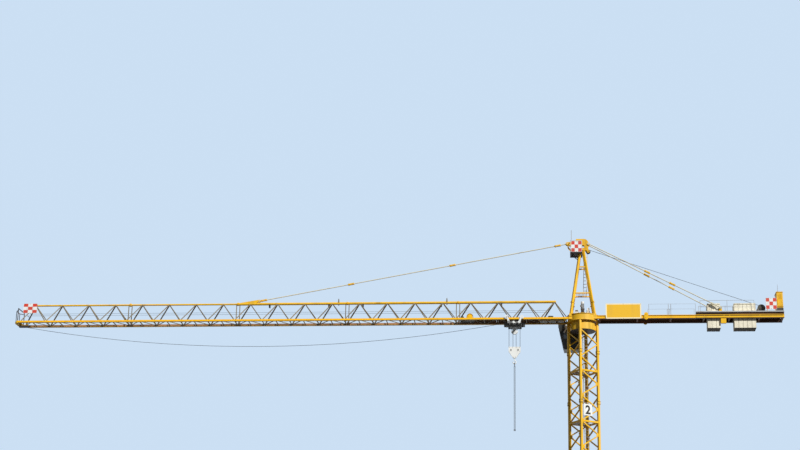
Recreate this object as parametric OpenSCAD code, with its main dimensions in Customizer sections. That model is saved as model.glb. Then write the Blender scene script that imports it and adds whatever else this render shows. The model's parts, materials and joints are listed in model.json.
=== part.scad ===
// Tower crane with a tower top, as a 1:2 scale model.
// The origin is on the tower axis at ground level, with the jib towards -X and +Z up.

/* [Base frame] */
// Length of each crossed base beam
base_len = 4400; // [3600:50:6000]
// Height of the base beams
base_h = 300; // [220:10:400]
// Width of the base beam flanges
base_w = 260; // [220:10:270]
// Thickness of the base beam flanges
flange_t = 28; // [16:2:40]
// Thickness of the base beam web
web_t = 24; // [12:2:40]
// Side length of a foot plate
foot_side = 480; // [440:10:600]
// Thickness of a foot plate
foot_t = 40; // [20:2:60]
// Circle through the anchor holes of one foot
anchor_pcd = 440; // [430:2:480]
// Diameter of an anchor hole
anchor_d = 36; // [20:1:38]

/* [Tower] */
// Turn of the tower about its axis, in degrees
tower_turn = 33.5; // [0:0.5:45]
// Distance between leg centres along one side
tower_side = 910; // [860:5:1000]
// Side length of a square leg
leg_w = 100; // [70:2:120]
// Height of one tower section
section_h = 2250; // [1800:10:3000]
// Number of tower sections
section_count = 8; // [4:1:9]
// Height from the top tower frame to the axis of the jib's lower chords
head_h = 2405; // [2200:5:2600]
// How far the legs stop below the axis of the jib's lower chords
leg_stop = 130; // [125:1:200]
// Width of the level bars of a tower frame
frame_bar = 76; // [50:2:90]
// Width of the zigzag braces of a tower side
brace_bar = 50; // [30:2:60]
// Number of zigzag braces in one section side
section_braces = 4; // [2:2:6]
// Number of zigzag braces in the top section side
head_braces = 3; // [3:1:5]
// Drop from the jib's lower chords to the highest brace
head_brace_drop = 525; // [450:5:700]
// Height of a leg joint above the frame below it
joint_rise = 900; // [700:10:1000]
// Width of the sleeve at a leg joint
sleeve_w = 126; // [124:1:150]
// Height of the sleeve at a leg joint
sleeve_h = 170; // [100:5:200]

/* [Tower access] */
// Thickness of a rest platform
platform_t = 16; // [8:1:30]
// Width of the ladder between its rails
ladder_w = 250; // [200:5:300]
// Width of a ladder rail and rung
ladder_bar = 22; // [14:1:30]
// Distance between ladder rungs
rung_step = 150; // [120:5:200]
// Distance of the ladder from the tower axis
ladder_off = 170; // [120:5:220]
// Clearance between the ladder and a rest platform
hatch_gap = 90; // [40:5:110]

/* [Number plate] */
// Width of the number plate on the tower side
plate_w = 440; // [200:10:600]
// Height of the number plate
plate_h = 500; // [200:10:600]
// Thickness of all sign boards
board_t = 12; // [6:1:25]

/* [Slewing bearing] */
// Radius of the fixed drum under the bearing
drum_r = 560; // [535:1:565]
// Height of the fixed drum
drum_h = 305; // [200:5:400]
// Radius of the bearing ring
bearing_r = 500; // [420:5:530]
// Height of the bearing ring
bearing_h = 90; // [60:1:120]
// Radius of the spigot that turns in the bearing
spigot_r = 200; // [120:5:260]
// Length of the spigot
spigot_h = 70; // [40:5:85]
// Running clearance of the spigot and the bearing face
bearing_gap = 0.1; // [0.05:0.05:0.1]

/* [Turntable] */
// Outer radius of the turntable drum
turn_r = 690; // [660:5:700]
// Underside of the turntable below the lower chord axis
turn_drop = 115; // [100:1:120]
// Height of the turntable drum
turn_h = 295; // [240:5:340]
// Distance from the axis to the jib root and counter-jib root
root_r = 610; // [600:5:680]
// Width of the turntable's root beams
turn_beam_w = 130; // [100:5:160]
// Height of the drive motor in the middle
motor_h = 600; // [400:10:700]

/* [Tower top] */
// Height of the top frame legs above the lower chord axis
top_h = 3225; // [2800:25:3600]
// Half spread of the feet of the top legs, along the jib
foot_x = 520; // [480:5:540]
// Half spread of the top legs at their upper end, along the jib
top_x = 70; // [60:5:90]
// Half spread of the top legs at their upper end, across the jib
top_y = 105; // [100:5:130]
// Width of a top leg
top_leg_w = 96; // [70:2:110]
// Width of the bars between the top legs
top_bar_w = 50; // [30:2:60]
// Height of the lower ring of bars in the top frame
top_ring_1 = 1180; // [1100:10:1400]
// Height of the upper ring of bars in the top frame
top_ring_2 = 2430; // [2300:10:2600]
// Height of the joint collars on the top legs
leg_joint = 750; // [600:10:900]
// Height of the cap over the top legs
cap_h = 548; // [500:4:600]
// Radius of the cap's rounded rear edge
cap_round = 210; // [150:5:220]
// Thickness of a cap cheek plate
cheek_t = 24; // [16:1:40]
// Half distance between the cap cheek plates
cheek_y = 70; // [50:5:80]
// Pitch radius of the sheave behind the cap
cap_sheave_r = 95; // [80:1:98]
// Depth of the head platform below the tops of the legs
platform_drop = 165; // [150:5:200]
// Height of the mast above the head platform
mast_h = 1260; // [600:10:1600]
// Width of the ladder inside the tower top
top_ladder_w = 145; // [120:5:160]

/* [Ties] */
// Diameter of a tie bar
tie_d = 42; // [30:1:60]
// Diameter of a tie pin
pin_d = 50; // [36:1:60]
// Radius of a tie eye
eye_r = 62; // [50:1:80]
// Distance from the axis to the front tie pin at the tower top
front_pin_x = 655; // [500:5:750]
// Height of the front tie pin above the cap base
front_pin_rise = 338; // [300:2:400]
// Distance from the axis to the jib lug of the front tie
jib_lug_r = 14585; // [14300:5:14800]
// Height of the front tie pin above the top chord axis
jib_lug_rise = 135; // [125:1:170]
// Distance from the counter-jib's end to the lugs of the rear ties
rear_lug_back = 2735; // [2705:5:2755]
// Height of the rear tie pin above the counter-jib girder
rear_lug_rise = 320; // [280:5:400]

/* [Jib] */
// Number of jib sections
jib_sections = 5; // [4:1:5]
// Number of bays in one jib section
section_bays = 4; // [4:1:4]
// Length of one bay
bay = 1250; // [1200:10:1300]
// Distance between the lower chord axes
gauge = 815; // [780:5:860]
// Height from the lower chord axis to the top chord axis
jib_h = 865; // [800:5:950]
// Side length of a square lower chord
lower_w = 90; // [70:2:100]
// Width of the top chord in the inner three sections
top_w = 110; // [90:2:120]
// Width of the top chord in the outer sections
top_w_outer = 74; // [60:2:90]
// Width of the jib's side diagonals
side_bar = 42; // [24:1:50]
// Width of the jib's floor bars
floor_bar = 34; // [20:1:40]
// Distance between the two end posts at a section joint
joint_gap = 150; // [100:5:200]
// How far the section joints stand towards the tower
joint_shift = 65; // [0:5:80]
// Width of the ledge that the trolley runs on
ledge_w = 50; // [46:1:56]
// Thickness of the ledge
ledge_t = 12; // [8:1:16]

/* [Counter-jib] */
// Length of the counter-jib from its root
counter_len = 8135; // [8050:5:8300]
// Distance between the girder centres
girder_gauge = 800; // [780:5:820]
// Height of a girder
girder_h = 160; // [145:5:180]
// Width of a girder flange
girder_w = 90; // [70:2:100]
// Depth of the girder's underside below the lower chord axis
girder_drop = 40; // [20:2:60]
// Length of the raised deck, from the counter-jib's end
deck_len = 3795; // [3745:10:3945]
// Height of the raised deck above the girders
deck_rise = 95; // [80:5:110]
// Thickness of the raised deck
deck_t = 50; // [40:2:70]
// How far the raised deck stands out over the girders
deck_out = 45; // [20:1:60]
// Height of the handrails above the girders
rail_h = 625; // [400:5:700]
// Diameter of a handrail
rail_d = 14; // [10:1:20]
// Distance from the axis to the joint between the counter-jib's two lengths
counter_joint = 2775; // [2700:5:2900]
// Distance from the axis to the large sign
sign_x = 1010; // [900:5:1100]
// Length of the large sign
sign_len = 1555; // [1200:5:1560]
// Height of the large sign
sign_h = 690; // [400:5:800]
// Width of a chequered board
check_w = 470; // [300:5:480]
// Height of a chequered board
check_h = 510; // [300:5:520]

/* [Counterweights] */
// Thickness of one counterweight slab
slab_t = 178; // [140:1:180]
// Distance between the slabs
slab_gap = 12; // [6:1:20]
// Width of a slab between the girders
slab_w = 640; // [560:10:650]
// Height of a slab above the raised deck
slab_up = 390; // [250:5:450]
// Depth of a slab below the lower chord axis
slab_down = 460; // [300:10:600]
// Distance from the counter-jib's end to the front group of slabs
front_slab_back = 3300; // [3285:5:3345]
// Distance from the counter-jib's end to the rear group of slabs
rear_slab_back = 2145; // [2105:5:2155]

/* [Trolley and hook] */
// Distance from the axis to the trolley at rest
trolley_r = 3020; // [2800:10:3100]
// Half length of the trolley frame
trolley_half = 465; // [460:5:480]
// Distance of the trolley wheels from the trolley centre
wheel_x = 355; // [345:5:365]
// Radius of a trolley wheel
wheel_r = 60; // [50:1:64]
// Diameter of the hoist rope
rope_d = 18; // [10:1:20]
// Distance of the outer rope falls from the trolley centre
outer_fall = 245; // [235:1:260]
// Distance of the inner rope falls from the trolley centre
inner_fall = 70; // [64:1:76]
// Pitch radius of a trolley sheave
trolley_sheave_r = 100; // [90:1:105]
// Depth of the trolley sheaves below the lower chord axis
trolley_sheave_drop = 185; // [180:1:200]
// Depth of the middle sheave below the lower chord axis
mid_sheave_drop = 460; // [440:5:500]
// Depth of the hook block sheaves below the lower chord axis
block_drop = 1325; // [1250:5:1500]
// Thickness of the hook block's cheek plates
block_cheek_t = 18; // [10:1:30]
// Diameter of the hook shank
shank_d = 50; // [40:1:56]
// Radius of the hook bowl at its middle line
hook_r = 62; // [50:1:80]
// Thickness of the hook
hook_t = 44; // [30:1:50]
// Length of a sling leg
sling_len = 2780; // [1500:10:3200]
// Diameter of a sling leg
sling_d = 20; // [12:1:26]

/* [Cab] */
// Length of the cab along the jib
cab_len = 980; // [850:10:1000]
// Width of the cab
cab_w = 700; // [600:10:800]
// Height of the cab
cab_h = 1180; // [1000:10:1300]
// Distance from the crane's middle to the cab's inner wall
cab_y = 875; // [850:5:950]
// Distance from the tower axis to the cab's rear wall
cab_rear = 100; // [60:5:150]
// Height of the cab's roof above the lower chord axis
cab_top = 85; // [80:5:150]
// How far the cab's front leans out from its floor to its roof
cab_lean = 240; // [100:10:260]
// Thickness of the cab's walls
cab_wall = 30; // [20:1:40]
// Thickness of the cab's glass
cab_glass_t = 10; // [6:1:16]

/* [Hidden] */

yellow = "#e8b312";
grey = "#8c9094";
white = "#e9e8e2";
dark = "#3a3a3c";

big = 60000;
seat_gap = 0.3;
tower_base_z = base_h;
top_frame_z = tower_base_z + section_count * section_h;
chord_z = top_frame_z + head_h;
leg_r = tower_side / sqrt(2);
jib_end = root_r + jib_sections * section_bays * bay;
section_len = section_bays * bay;
top_rear_x = 310;
rear_pin_rise = 305;
leg_foot_z = turn_h - turn_drop + 20;
girder_z0 = -girder_drop;
girder_z1 = girder_h - girder_drop;
deck_z0 = girder_z1 + deck_rise;
deck_z1 = deck_z0 + deck_t;
counter_end = root_r + counter_len;
deck_start = counter_end - deck_len;
front_slab_x = counter_end - front_slab_back;
rear_slab_x = counter_end - rear_slab_back;
rear_lug_r = counter_end - rear_lug_back;
front_slabs = 3;
rear_slabs = 5;
apex_y = side_bar * 0.6;

// Route of the hoist rope that sags from the jib tip to the trolley, seen from the side
run_route = [
    [-25330, -164], [-24300, -336], [-23200, -501], [-22100, -647], [-21000, -772], [-19900, -878],
    [-18800, -964], [-17700, -1030], [-16600, -1077], [-15500, -1103], [-14400, -1110],
    [-13300, -1097], [-12200, -1064], [-11100, -1012], [-10000, -940], [-8900, -847],
    [-7800, -735], [-6700, -604], [-5600, -452], [-4500, -281], [-3900, -179], [-3382, -86]];
drum_clear = turn_r + 15;
rest_z = [for (k = [0:section_count - 1]) tower_base_z + (k + 1) * section_h];

// A straight bar of few sides between two points
module bar(a, b, w, sides = 4) {
    v = b - a;
    l = norm(v);
    translate(a) rotate([0, acos(v.z / l), atan2(v.y, v.x)])
        rotate([0, 0, 180 / sides]) cylinder(d = w / cos(180 / sides), h = l, $fn = sides);
}

// A round bar between two points
module rod(a, b, d) {
    v = b - a;
    l = norm(v);
    translate(a) rotate([0, acos(v.z / l), atan2(v.y, v.x)]) cylinder(d = d, h = l, $fn = 24);
}

// A box given by its low and high corners
module span(lo, hi) {
    translate(lo) cube(hi - lo);
}

// Raises what belongs to the slewing part to the level of the lower chords
module at_chord() {
    translate([0, 0, chord_z]) children();
}

// A round piece with its axis along Y
module across(r, w, at, sides = 48) {
    translate(at) rotate([90, 0, 0]) cylinder(r = r, h = w, center = true, $fn = sides);
}

// A grooved sheave with its pin, along Y, for a rope at the pitch radius
module sheave(at, pitch_r, w, pin_w, pin_r) {
    floor_r = pitch_r - rope_d / 2 - seat_gap;
    rim_r = pitch_r + rope_d / 2;
    groove = rope_d / 2 + seat_gap;
    translate(at) rotate([90, 0, 0]) rotate_extrude($fn = 64)
        polygon([[0, -pin_w / 2], [pin_r, -pin_w / 2], [pin_r, -w / 2], [rim_r, -w / 2],
            [rim_r, -groove], [floor_r, -groove], [floor_r, groove], [rim_r, groove],
            [rim_r, w / 2], [pin_r, w / 2], [pin_r, pin_w / 2], [0, pin_w / 2]]);
}

// Base frame

module i_beam(len, h, w, tf, tw) {
    translate([-len / 2, 0, 0]) rotate([90, 0, 90]) linear_extrude(len)
        polygon([[-w / 2, 0], [w / 2, 0], [w / 2, tf], [tw / 2, tf], [tw / 2, h - tf],
            [w / 2, h - tf], [w / 2, h], [-w / 2, h], [-w / 2, h - tf], [-tw / 2, h - tf],
            [-tw / 2, tf], [-w / 2, tf]]);
}

module foot_plate() {
    difference() {
        translate([-foot_side / 2, -foot_side / 2, 0]) cube([foot_side, foot_side, foot_t]);
        for (a = [45:90:315])
            rotate([0, 0, a]) translate([anchor_pcd / 2, 0, -1])
                cylinder(d = anchor_d, h = foot_t + 2, $fn = 32);
    }
}

module base_frame() color(yellow) {
    for (a = [45, 135]) rotate([0, 0, tower_turn + a]) {
        i_beam(base_len, base_h, base_w, flange_t, web_t);
        for (side = [-1, 1]) translate([side * (base_len - foot_side) / 2, 0, 0]) foot_plate();
        for (side = [-1, 1]) translate([side * leg_r, 0, base_h / 2])
            cube([leg_w, base_w - 20, base_h - 2 * flange_t + 2], center = true);
    }
}

// Tower

module at_leg(i) {
    a = tower_turn + 45 + 90 * i;
    translate([leg_r * cos(a), leg_r * sin(a), 0]) rotate([0, 0, tower_turn]) children();
}

module leg_post(w, z0, z1) {
    translate([-w / 2, -w / 2, z0]) cube([w, w, z1 - z0]);
}

module tower_legs() color(yellow) {
    for (i = [0:3]) at_leg(i) {
        leg_post(leg_w, tower_base_z, chord_z - leg_stop);
        for (k = [0:section_count])
            leg_post(sleeve_w, tower_base_z + k * section_h + joint_rise - sleeve_h / 2,
                tower_base_z + k * section_h + joint_rise + sleeve_h / 2);
    }
}

module legs_cut() {
    for (i = [0:3]) at_leg(i) leg_post(leg_w, 0, chord_z);
}

module zigzag(z0, z1, count, from) {
    half = tower_side / 2;
    step = (z1 - z0) / count;
    for (k = [0:count - 1]) {
        side = (k % 2 == 0) ? from : -from;
        bar([side * half, half, z0 + k * step], [-side * half, half, z0 + (k + 1) * step], brace_bar);
    }
}

module tower_side(i) color(yellow) difference() {
    rotate([0, 0, tower_turn + 90 * i]) {
        half = tower_side / 2;
        for (k = [0:section_count])
            bar([-half, half, tower_base_z + frame_bar / 2 + k * section_h],
                [half, half, tower_base_z + frame_bar / 2 + k * section_h], frame_bar);
        for (k = [0:section_count - 1])
            zigzag(tower_base_z + k * section_h + frame_bar / 2,
                tower_base_z + (k + 1) * section_h + frame_bar / 2, section_braces, 1);
        zigzag(top_frame_z + frame_bar / 2, chord_z - head_brace_drop, head_braces, -1);
    }
    legs_cut();
}

module tower_side_1() tower_side(0);
module tower_side_2() tower_side(1);
module tower_side_3() tower_side(2);
module tower_side_4() tower_side(3);

module tower_ladder() color(grey) rotate([0, 0, tower_turn]) {
    foot = tower_base_z;
    head = chord_z - turn_drop - bearing_h - drum_h - 60;
    for (side = [-1, 1])
        span([side * ladder_w / 2 - ladder_bar / 2, -ladder_off - ladder_bar / 2, foot],
            [side * ladder_w / 2 + ladder_bar / 2, -ladder_off + ladder_bar / 2, head]);
    for (z = [foot + rung_step:rung_step:head - rung_step / 2])
        span([-ladder_w / 2, -ladder_off - ladder_bar / 4, z],
            [ladder_w / 2, -ladder_off + ladder_bar / 4, z + ladder_bar / 2]);
}

module rest_platforms() color(grey) rotate([0, 0, tower_turn]) {
    half = tower_side / 2 - frame_bar / 2;
    corner = leg_w / 2 - frame_bar / 2 + seat_gap;
    for (z = rest_z) difference() {
        span([-half, -ladder_off + hatch_gap, z + frame_bar / 2 - platform_t],
            [half, half, z + frame_bar / 2]);
        for (sx = [-1, 1])
            translate([sx * half, half, z]) cube([2 * corner, 2 * corner, 4 * frame_bar], center = true);
    }
}

module tower_head() color(yellow) difference() {
    z0 = chord_z - turn_drop - bearing_h - drum_h;
    union() {
        translate([0, 0, z0]) cylinder(r = drum_r, h = drum_h, $fn = 96);
        translate([0, 0, z0 + drum_h - 1])
            cylinder(r = bearing_r, h = bearing_h + 1 - seat_gap, $fn = 96);
        for (i = [0:3]) rotate([0, 0, tower_turn + 45 + 90 * i])
            span([drum_r - 60, -leg_w * 0.3, z0 + 20], [leg_r, leg_w * 0.3, z0 + drum_h - 20]);
    }
    legs_cut();
    translate([0, 0, chord_z - turn_drop - spigot_h - 10])
        cylinder(r = spigot_r + bearing_gap, h = spigot_h + 20, $fn = 96);
}

module number_plate() color(white) rotate([0, 0, tower_turn + 180]) {
    z1 = chord_z - 3875;
    y0 = tower_side / 2 + brace_bar / 2;
    span([tower_side / 2 - leg_w / 2 - 60 - plate_w, y0, z1 - plate_h],
        [tower_side / 2 - leg_w / 2 - 60, y0 + board_t, z1]);
}

// Turntable and cab

// Half of the turntable's section, turned about the tower axis
module turntable_section() {
    rim = 24;
    z0 = -turn_drop;
    z1 = turn_h - turn_drop;
    polygon([[0, z0 - spigot_h], [spigot_r, z0 - spigot_h], [spigot_r, z0], [turn_r, z0],
        [turn_r, z0 + rim], [turn_r - rim, z0 + rim], [turn_r - rim, z1 - rim], [turn_r, z1 - rim],
        [turn_r, z1], [0, z1]]);
}

// The beams under a jib root, from the turntable's wall out to the root
module root_beams(side, z0, z1) {
    len = root_r - foot_x + 60;
    for (sy = [-1, 1])
        translate([side * (root_r - len / 2), sy * gauge / 2, (z0 + z1) / 2])
            cube([len, turn_beam_w, z1 - z0], center = true);
}

module turntable() color(yellow) at_chord() {
    jib_beam_top = 60;
    leg_seat = 75;
    cab_arm = 40;
    rotate_extrude($fn = 96) turntable_section();
    root_beams(-1, -lower_w / 2, jib_beam_top);
    root_beams(1, girder_z0, girder_z1);
    for (sx = [-1, 1]) for (sy = [-1, 1])
        span([sx * foot_x - leg_seat, sy * gauge / 2 - leg_seat, leg_foot_z - 120],
            [sx * foot_x + leg_seat, sy * gauge / 2 + leg_seat, leg_foot_z]);
    for (x = [-cab_rear - 120, -cab_rear - 467])
        span([x - cab_arm, gauge / 2 - 120, -20], [x + cab_arm, cab_y, jib_beam_top]);
}

// A vertical drive motor with its gearbox, cooling ribs and fan cover
module drive_motor(h) {
    ribs = 16;
    gear_h = h * 0.45;
    body_h = h * 0.38;
    cover_z = h * 0.83 + 20;
    cylinder(r = 100, h = 30, $fn = 48);
    translate([0, 0, 29]) cylinder(r = 74, h = gear_h - 28, $fn = 48);
    translate([0, 0, gear_h]) cylinder(r = 92, h = 22, $fn = 48);
    translate([0, 0, gear_h + 21]) difference() {
        cylinder(r = 72, h = body_h, $fn = 48);
        for (k = [0:ribs - 1]) rotate([0, 0, k * 360 / ribs])
            translate([62, -6, 20]) cube([20, 12, body_h - 40]);
    }
    translate([0, 0, cover_z]) cylinder(r = 66, h = h - cover_z, $fn = 48);
}

// One tall slewing drive at the near side, two low ones and two switch boxes
module slewing_motors() color(grey) at_chord() {
    z0 = turn_h - turn_drop;
    tall_drive_y = -250;
    low_drives = [[-260, 190], [250, 190]];
    low_drive_h = motor_h * 0.55;
    translate([0, tall_drive_y, z0]) drive_motor(motor_h);
    for (at = low_drives) translate([at.x, at.y, z0]) drive_motor(low_drive_h);
    span([205, -190, z0], [300, -80, z0 + 340]);
    span([-330, -170, z0], [-180, -60, z0 + 190]);
}

cab_x0 = -cab_rear - cab_len;
cab_x1 = -cab_rear;
cab_z0 = cab_top - cab_h;

// Where the cab's leaning front stands at height z
function cab_front(z) = cab_x0 + cab_lean * (cab_top - z) / cab_h;

// The cab's side outline, drawn in by t on all sides
function cab_outline(t) = [
    [cab_front(cab_top - t) + t, cab_top - t], [cab_x1 - t, cab_top - t], [cab_x1 - t, cab_z0 + t],
    [cab_front(cab_z0 + t) + t, cab_z0 + t]];

module cab_solid(t) {
    translate([0, cab_y + cab_w - t, 0]) rotate([90, 0, 0]) linear_extrude(cab_w - 2 * t)
        polygon(cab_outline(t));
}

// The window openings of the cab
module cab_openings() {
    post = 60;
    sill = cab_z0 + 90;
    middle = cab_z0 + cab_h * 0.5;
    head = cab_top - 110;
    span([cab_x0 - 50, cab_y + post, sill],
        [cab_front(sill) + cab_wall + 20, cab_y + cab_w - post, middle - 30]);
    span([cab_x0 - 50, cab_y + post, middle + 30],
        [cab_front(middle) + cab_wall + 20, cab_y + cab_w - post, head]);
    span([cab_front(cab_z0 + cab_h * 0.42) + 80, cab_y - 50, cab_z0 + cab_h * 0.42],
        [cab_x1 - 110, cab_y + cab_w + 50, head]);
}

module cab_shell() color(dark) at_chord() difference() {
    cab_solid(0);
    cab_solid(cab_wall);
    cab_openings();
}

module cab_windows() color("#26303a") at_chord() intersection() {
    cab_openings();
    difference() {
        cab_solid(cab_wall / 2 - cab_glass_t / 2);
        cab_solid(cab_wall / 2 + cab_glass_t / 2);
    }
}

// Tower top

// A point on the centre line of a top leg at height z
function top_leg(sx, sy, z) =
    let(f = (z - leg_foot_z) / (top_h - leg_foot_z))
    [sx * (foot_x + (top_x - foot_x) * f), sy * (gauge / 2 + (top_y - gauge / 2) * f), z];

module top_legs(sx) {
    intersection() {
        for (sy = [-1, 1]) bar(top_leg(sx, sy, leg_foot_z - 200), top_leg(sx, sy, top_h + 100), top_leg_w);
        span([-big / 2, -big / 2, leg_foot_z], [big / 2, big / 2, top_h]);
    }
}

// Collars where the two lengths of a top leg are bolted together
module leg_collars(sx) {
    for (sy = [-1, 1])
        bar(top_leg(sx, sy, leg_joint - 22), top_leg(sx, sy, leg_joint + 22), top_leg_w + 40);
}

// The level bars and crossed braces between the two legs of one end
module end_lacing(sx) {
    levels = [leg_foot_z + 130, top_ring_1, top_ring_2];
    for (z = [top_ring_1, top_ring_2]) bar(top_leg(sx, -1, z), top_leg(sx, 1, z), top_bar_w);
    for (k = [0, 1]) {
        side = k == 0 ? 1 : -1;
        bar(top_leg(sx, -side, levels[k]), top_leg(sx, side, levels[k + 1]), top_bar_w * 0.8);
    }
}

module top_end_frame(sx) {
    top_legs(sx);
    leg_collars(sx);
    end_lacing(sx);
}

module top_front_frame() color(yellow) at_chord() top_end_frame(-1);
module top_rear_frame() color(yellow) at_chord() top_end_frame(1);

// The side bars of both rings, with a stepping floor at the lower one
module top_side_braces() color(yellow) at_chord() difference() {
    floor_y = abs(top_leg(1, 1, top_ring_1).y);
    union() {
        for (sy = [-1, 1]) {
            bar(top_leg(-1, sy, top_ring_1), top_leg(1, sy, top_ring_1), top_bar_w);
            bar(top_leg(-1, sy, top_ring_2), top_leg(1, sy, top_ring_2), top_bar_w);
        }
        for (x = [-240:60:180])
            span([x - 9, -floor_y, top_ring_1 - 20], [x + 9, floor_y, top_ring_1 + 20]);
    }
    for (sx = [-1, 1]) {
        top_legs(sx);
        end_lacing(sx);
    }
}

front_pin = [-front_pin_x, 0, top_h + front_pin_rise];
rear_pin = [top_rear_x, 0, top_h + rear_pin_rise];
cap_front = -257;
cap_top = top_h + cap_h;
cap_sheave_at = [290, 0, top_h - 40];
platform_z = top_h - platform_drop;
platform_x0 = -520;
platform_x1 = 20;
platform_y = 350;
mast_at = [-455, 330, platform_z];

// The curved strut between the front tie's ring and the head platform
module front_strut() {
    r = 300;
    at = [front_pin.x + 15 + r, front_pin.z - 60];
    intersection() {
        translate(at) difference() {
            circle(r = r, $fn = 96);
            circle(r = r - 36, $fn = 96);
        }
        translate([front_pin.x, platform_z + 20])
            square([at.x - 120 - front_pin.x, at.y - platform_z - 20]);
    }
}

// Outline of a cap cheek plate in the XZ plane
module cheek_outline() {
    corner = [top_rear_x - 10 - cap_round, cap_top - cap_round];
    difference() {
        union() {
            translate([cap_front, top_h]) square([corner.x - cap_front, cap_h]);
            translate([cap_front, top_h]) square([top_rear_x - 10 - cap_front, cap_h - cap_round]);
            translate(corner) circle(r = cap_round, $fn = 96);
            translate([cap_sheave_at.x, cap_sheave_at.z]) circle(r = 62, $fn = 48);
            translate([front_pin.x, front_pin.z]) circle(r = eye_r, $fn = 48);
            translate([rear_pin.x, rear_pin.z]) circle(r = eye_r, $fn = 48);
            polygon([[front_pin.x, front_pin.z + eye_r], [cap_front + 10, front_pin.z + eye_r + 30],
                [cap_front + 10, front_pin.z - 140], [front_pin.x, front_pin.z - eye_r]]);
            front_strut();
        }
        for (at = [front_pin, rear_pin, cap_sheave_at])
            translate([at.x, at.z]) circle(d = pin_d, $fn = 48);
        for (x = [-130, 60]) translate([x, top_h + 190]) circle(r = 62, $fn = 48);
    }
}

module top_cap() color(yellow) at_chord() {
    for (side = [-1, 1]) translate([0, side * (cheek_y + cheek_t / 2) + cheek_t / 2, 0])
        rotate([90, 0, 0]) linear_extrude(cheek_t) cheek_outline();
    span([-top_x - 60, -top_y - 60, top_h], [top_x + 60, top_y + 60, top_h + 30]);
    span([cap_front, -cheek_y - cheek_t, cap_top - 20], [80, cheek_y + cheek_t, cap_top]);
    span([cap_front + 5, -cheek_y - 1, top_h + 40], [cap_front + 29, cheek_y + 1, top_h + 200]);
}

// The floor, toe board and rails of the platform in front of the tower's head
module platform_floor() {
    difference() {
        span([platform_x0, -platform_y, platform_z], [platform_x1, platform_y, platform_z + 20]);
        top_legs(-1);
        span([-60, -60, platform_z - 1], [platform_x1 + 1, 60, platform_z + 21]);
    }
    for (y = [-platform_y - 4, platform_y - 4])
        span([platform_x0, y, platform_z - 34], [platform_x1, y + 8, platform_z + 25]);
}

module platform_rails() {
    rail = rail_d + 8;
    top = platform_z + 560;
    for (y = [-platform_y, platform_y - rail]) {
        for (x = [platform_x0, platform_x1 - rail]) span([x, y, platform_z], [x + rail, y + rail, top]);
        for (z = [top, platform_z + 300]) span([platform_x0, y, z - rail], [platform_x1, y + rail, z]);
    }
    span([platform_x0, -platform_y, top - rail], [platform_x0 + rail, -120, top]);
    span([platform_x0, 120, top - rail], [platform_x0 + rail, platform_y, top]);
}

// The ladder that leans with the rear legs up to the head platform
module top_ladder() {
    foot = [115, 0, top_ring_1 + 20.8];
    head = [180, 0, platform_z + 20];
    half = [top_ladder_w / 2, 0, 0];
    steps = floor((head.z - foot.z) / rung_step);
    for (side = [-1, 1]) bar(foot + side * half, head + side * half, ladder_bar);
    for (k = [1:steps - 1]) {
        at = foot + (head - foot) * k / steps;
        if (abs(at.z - top_ring_2) > top_bar_w) bar(at - half, at + half, ladder_bar * 0.8);
    }
}

module top_platform() color(grey) at_chord() {
    platform_floor();
    platform_rails();
    top_ladder();
    rod(mast_at + [0, 0, 10], mast_at + [0, 0, 60], 60);
    rod(mast_at + [0, 0, 59], mast_at + [0, 0, mast_h], 24);
    difference() {
        for (sy = [-1, 1])
            bar([platform_x0 + 60, sy * top_y, platform_z + 10], top_leg(-1, sy, platform_z - 240), 30);
        top_legs(-1);
    }
}

// Ties

// A tie bar in several lengths, with a pair of link plates at each joint
module tie_run(a, b, joints) {
    rod(a, b, tie_d);
    v = (b - a) / norm(b - a);
    for (f = joints) {
        p = a + (b - a) * f;
        for (side = [-1, 1]) translate([0, side * tie_d * 0.42, 0])
            bar(p - v * 140, p + v * 140, tie_d * 1.25);
    }
}

jib_pin = [-jib_lug_r, 0, jib_h + jib_lug_rise];

module front_tie() color(grey) at_chord() {
    tie_run(front_pin, jib_pin, [0.03, 0.37, 0.7, 0.985]);
    across(eye_r - 2, 44, front_pin);
    across(eye_r - 2, 44, jib_pin);
    across(pin_d / 2 - seat_gap, 2 * (cheek_y + cheek_t) + 30, front_pin);
    across(pin_d / 2 - seat_gap, 2 * 45 + 30, jib_pin);
}

rear_y = girder_gauge / 2 + 15 + tie_d / 2 + 6;
rear_lug = [rear_lug_r, 0, girder_h - girder_drop + rear_lug_rise];
top_tie_y = cheek_y + cheek_t + 22;

module rear_ties() color(grey) at_chord() {
    for (side = [-1, 1]) {
        a = rear_pin + [0, side * top_tie_y, 0];
        b = rear_lug + [0, side * rear_y, 0];
        tie_run(a, b, [0.45, 0.64, 0.95]);
        across(eye_r - 2, 40, a);
        across(eye_r - 2, 40, b);
        across(pin_d / 2 - seat_gap, 100, b - [0, side * 30, 0]);
    }
    across(pin_d / 2 - seat_gap, 2 * top_tie_y + 60, rear_pin);
}

// Jib

// Middle of the joint between two jib sections
function joint_x(j) = -(root_r + j * section_len) + joint_shift;

// The long wedge that brings the front tie's pull down to the top chord
module tie_lug() {
    difference() {
        union() {
            translate([jib_pin.x, jib_pin.z]) circle(r = eye_r, $fn = 48);
            polygon([[jib_pin.x - 855, jib_h + 15], [jib_pin.x - 855, jib_h + 58],
                [jib_pin.x - 10, jib_pin.z + eye_r - 1], [jib_pin.x + 50, jib_pin.z - 30],
                [jib_pin.x - 60, jib_pin.z - eye_r + 10], [jib_pin.x - 190, jib_h + 15]]);
        }
        translate([jib_pin.x, jib_pin.z]) circle(d = pin_d, $fn = 48);
    }
}

first_apex = -(root_r + bay / 2);
last_apex = -(jib_end - bay / 2);
thick_end = -(root_r + 3 * section_len);

module top_chord_shape() {
    bar([first_apex + 60, 0, jib_h], [thick_end, 0, jib_h], top_w, 8);
    bar([thick_end + 1, 0, jib_h], [last_apex - 60, 0, jib_h], top_w_outer, 8);
}

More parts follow.
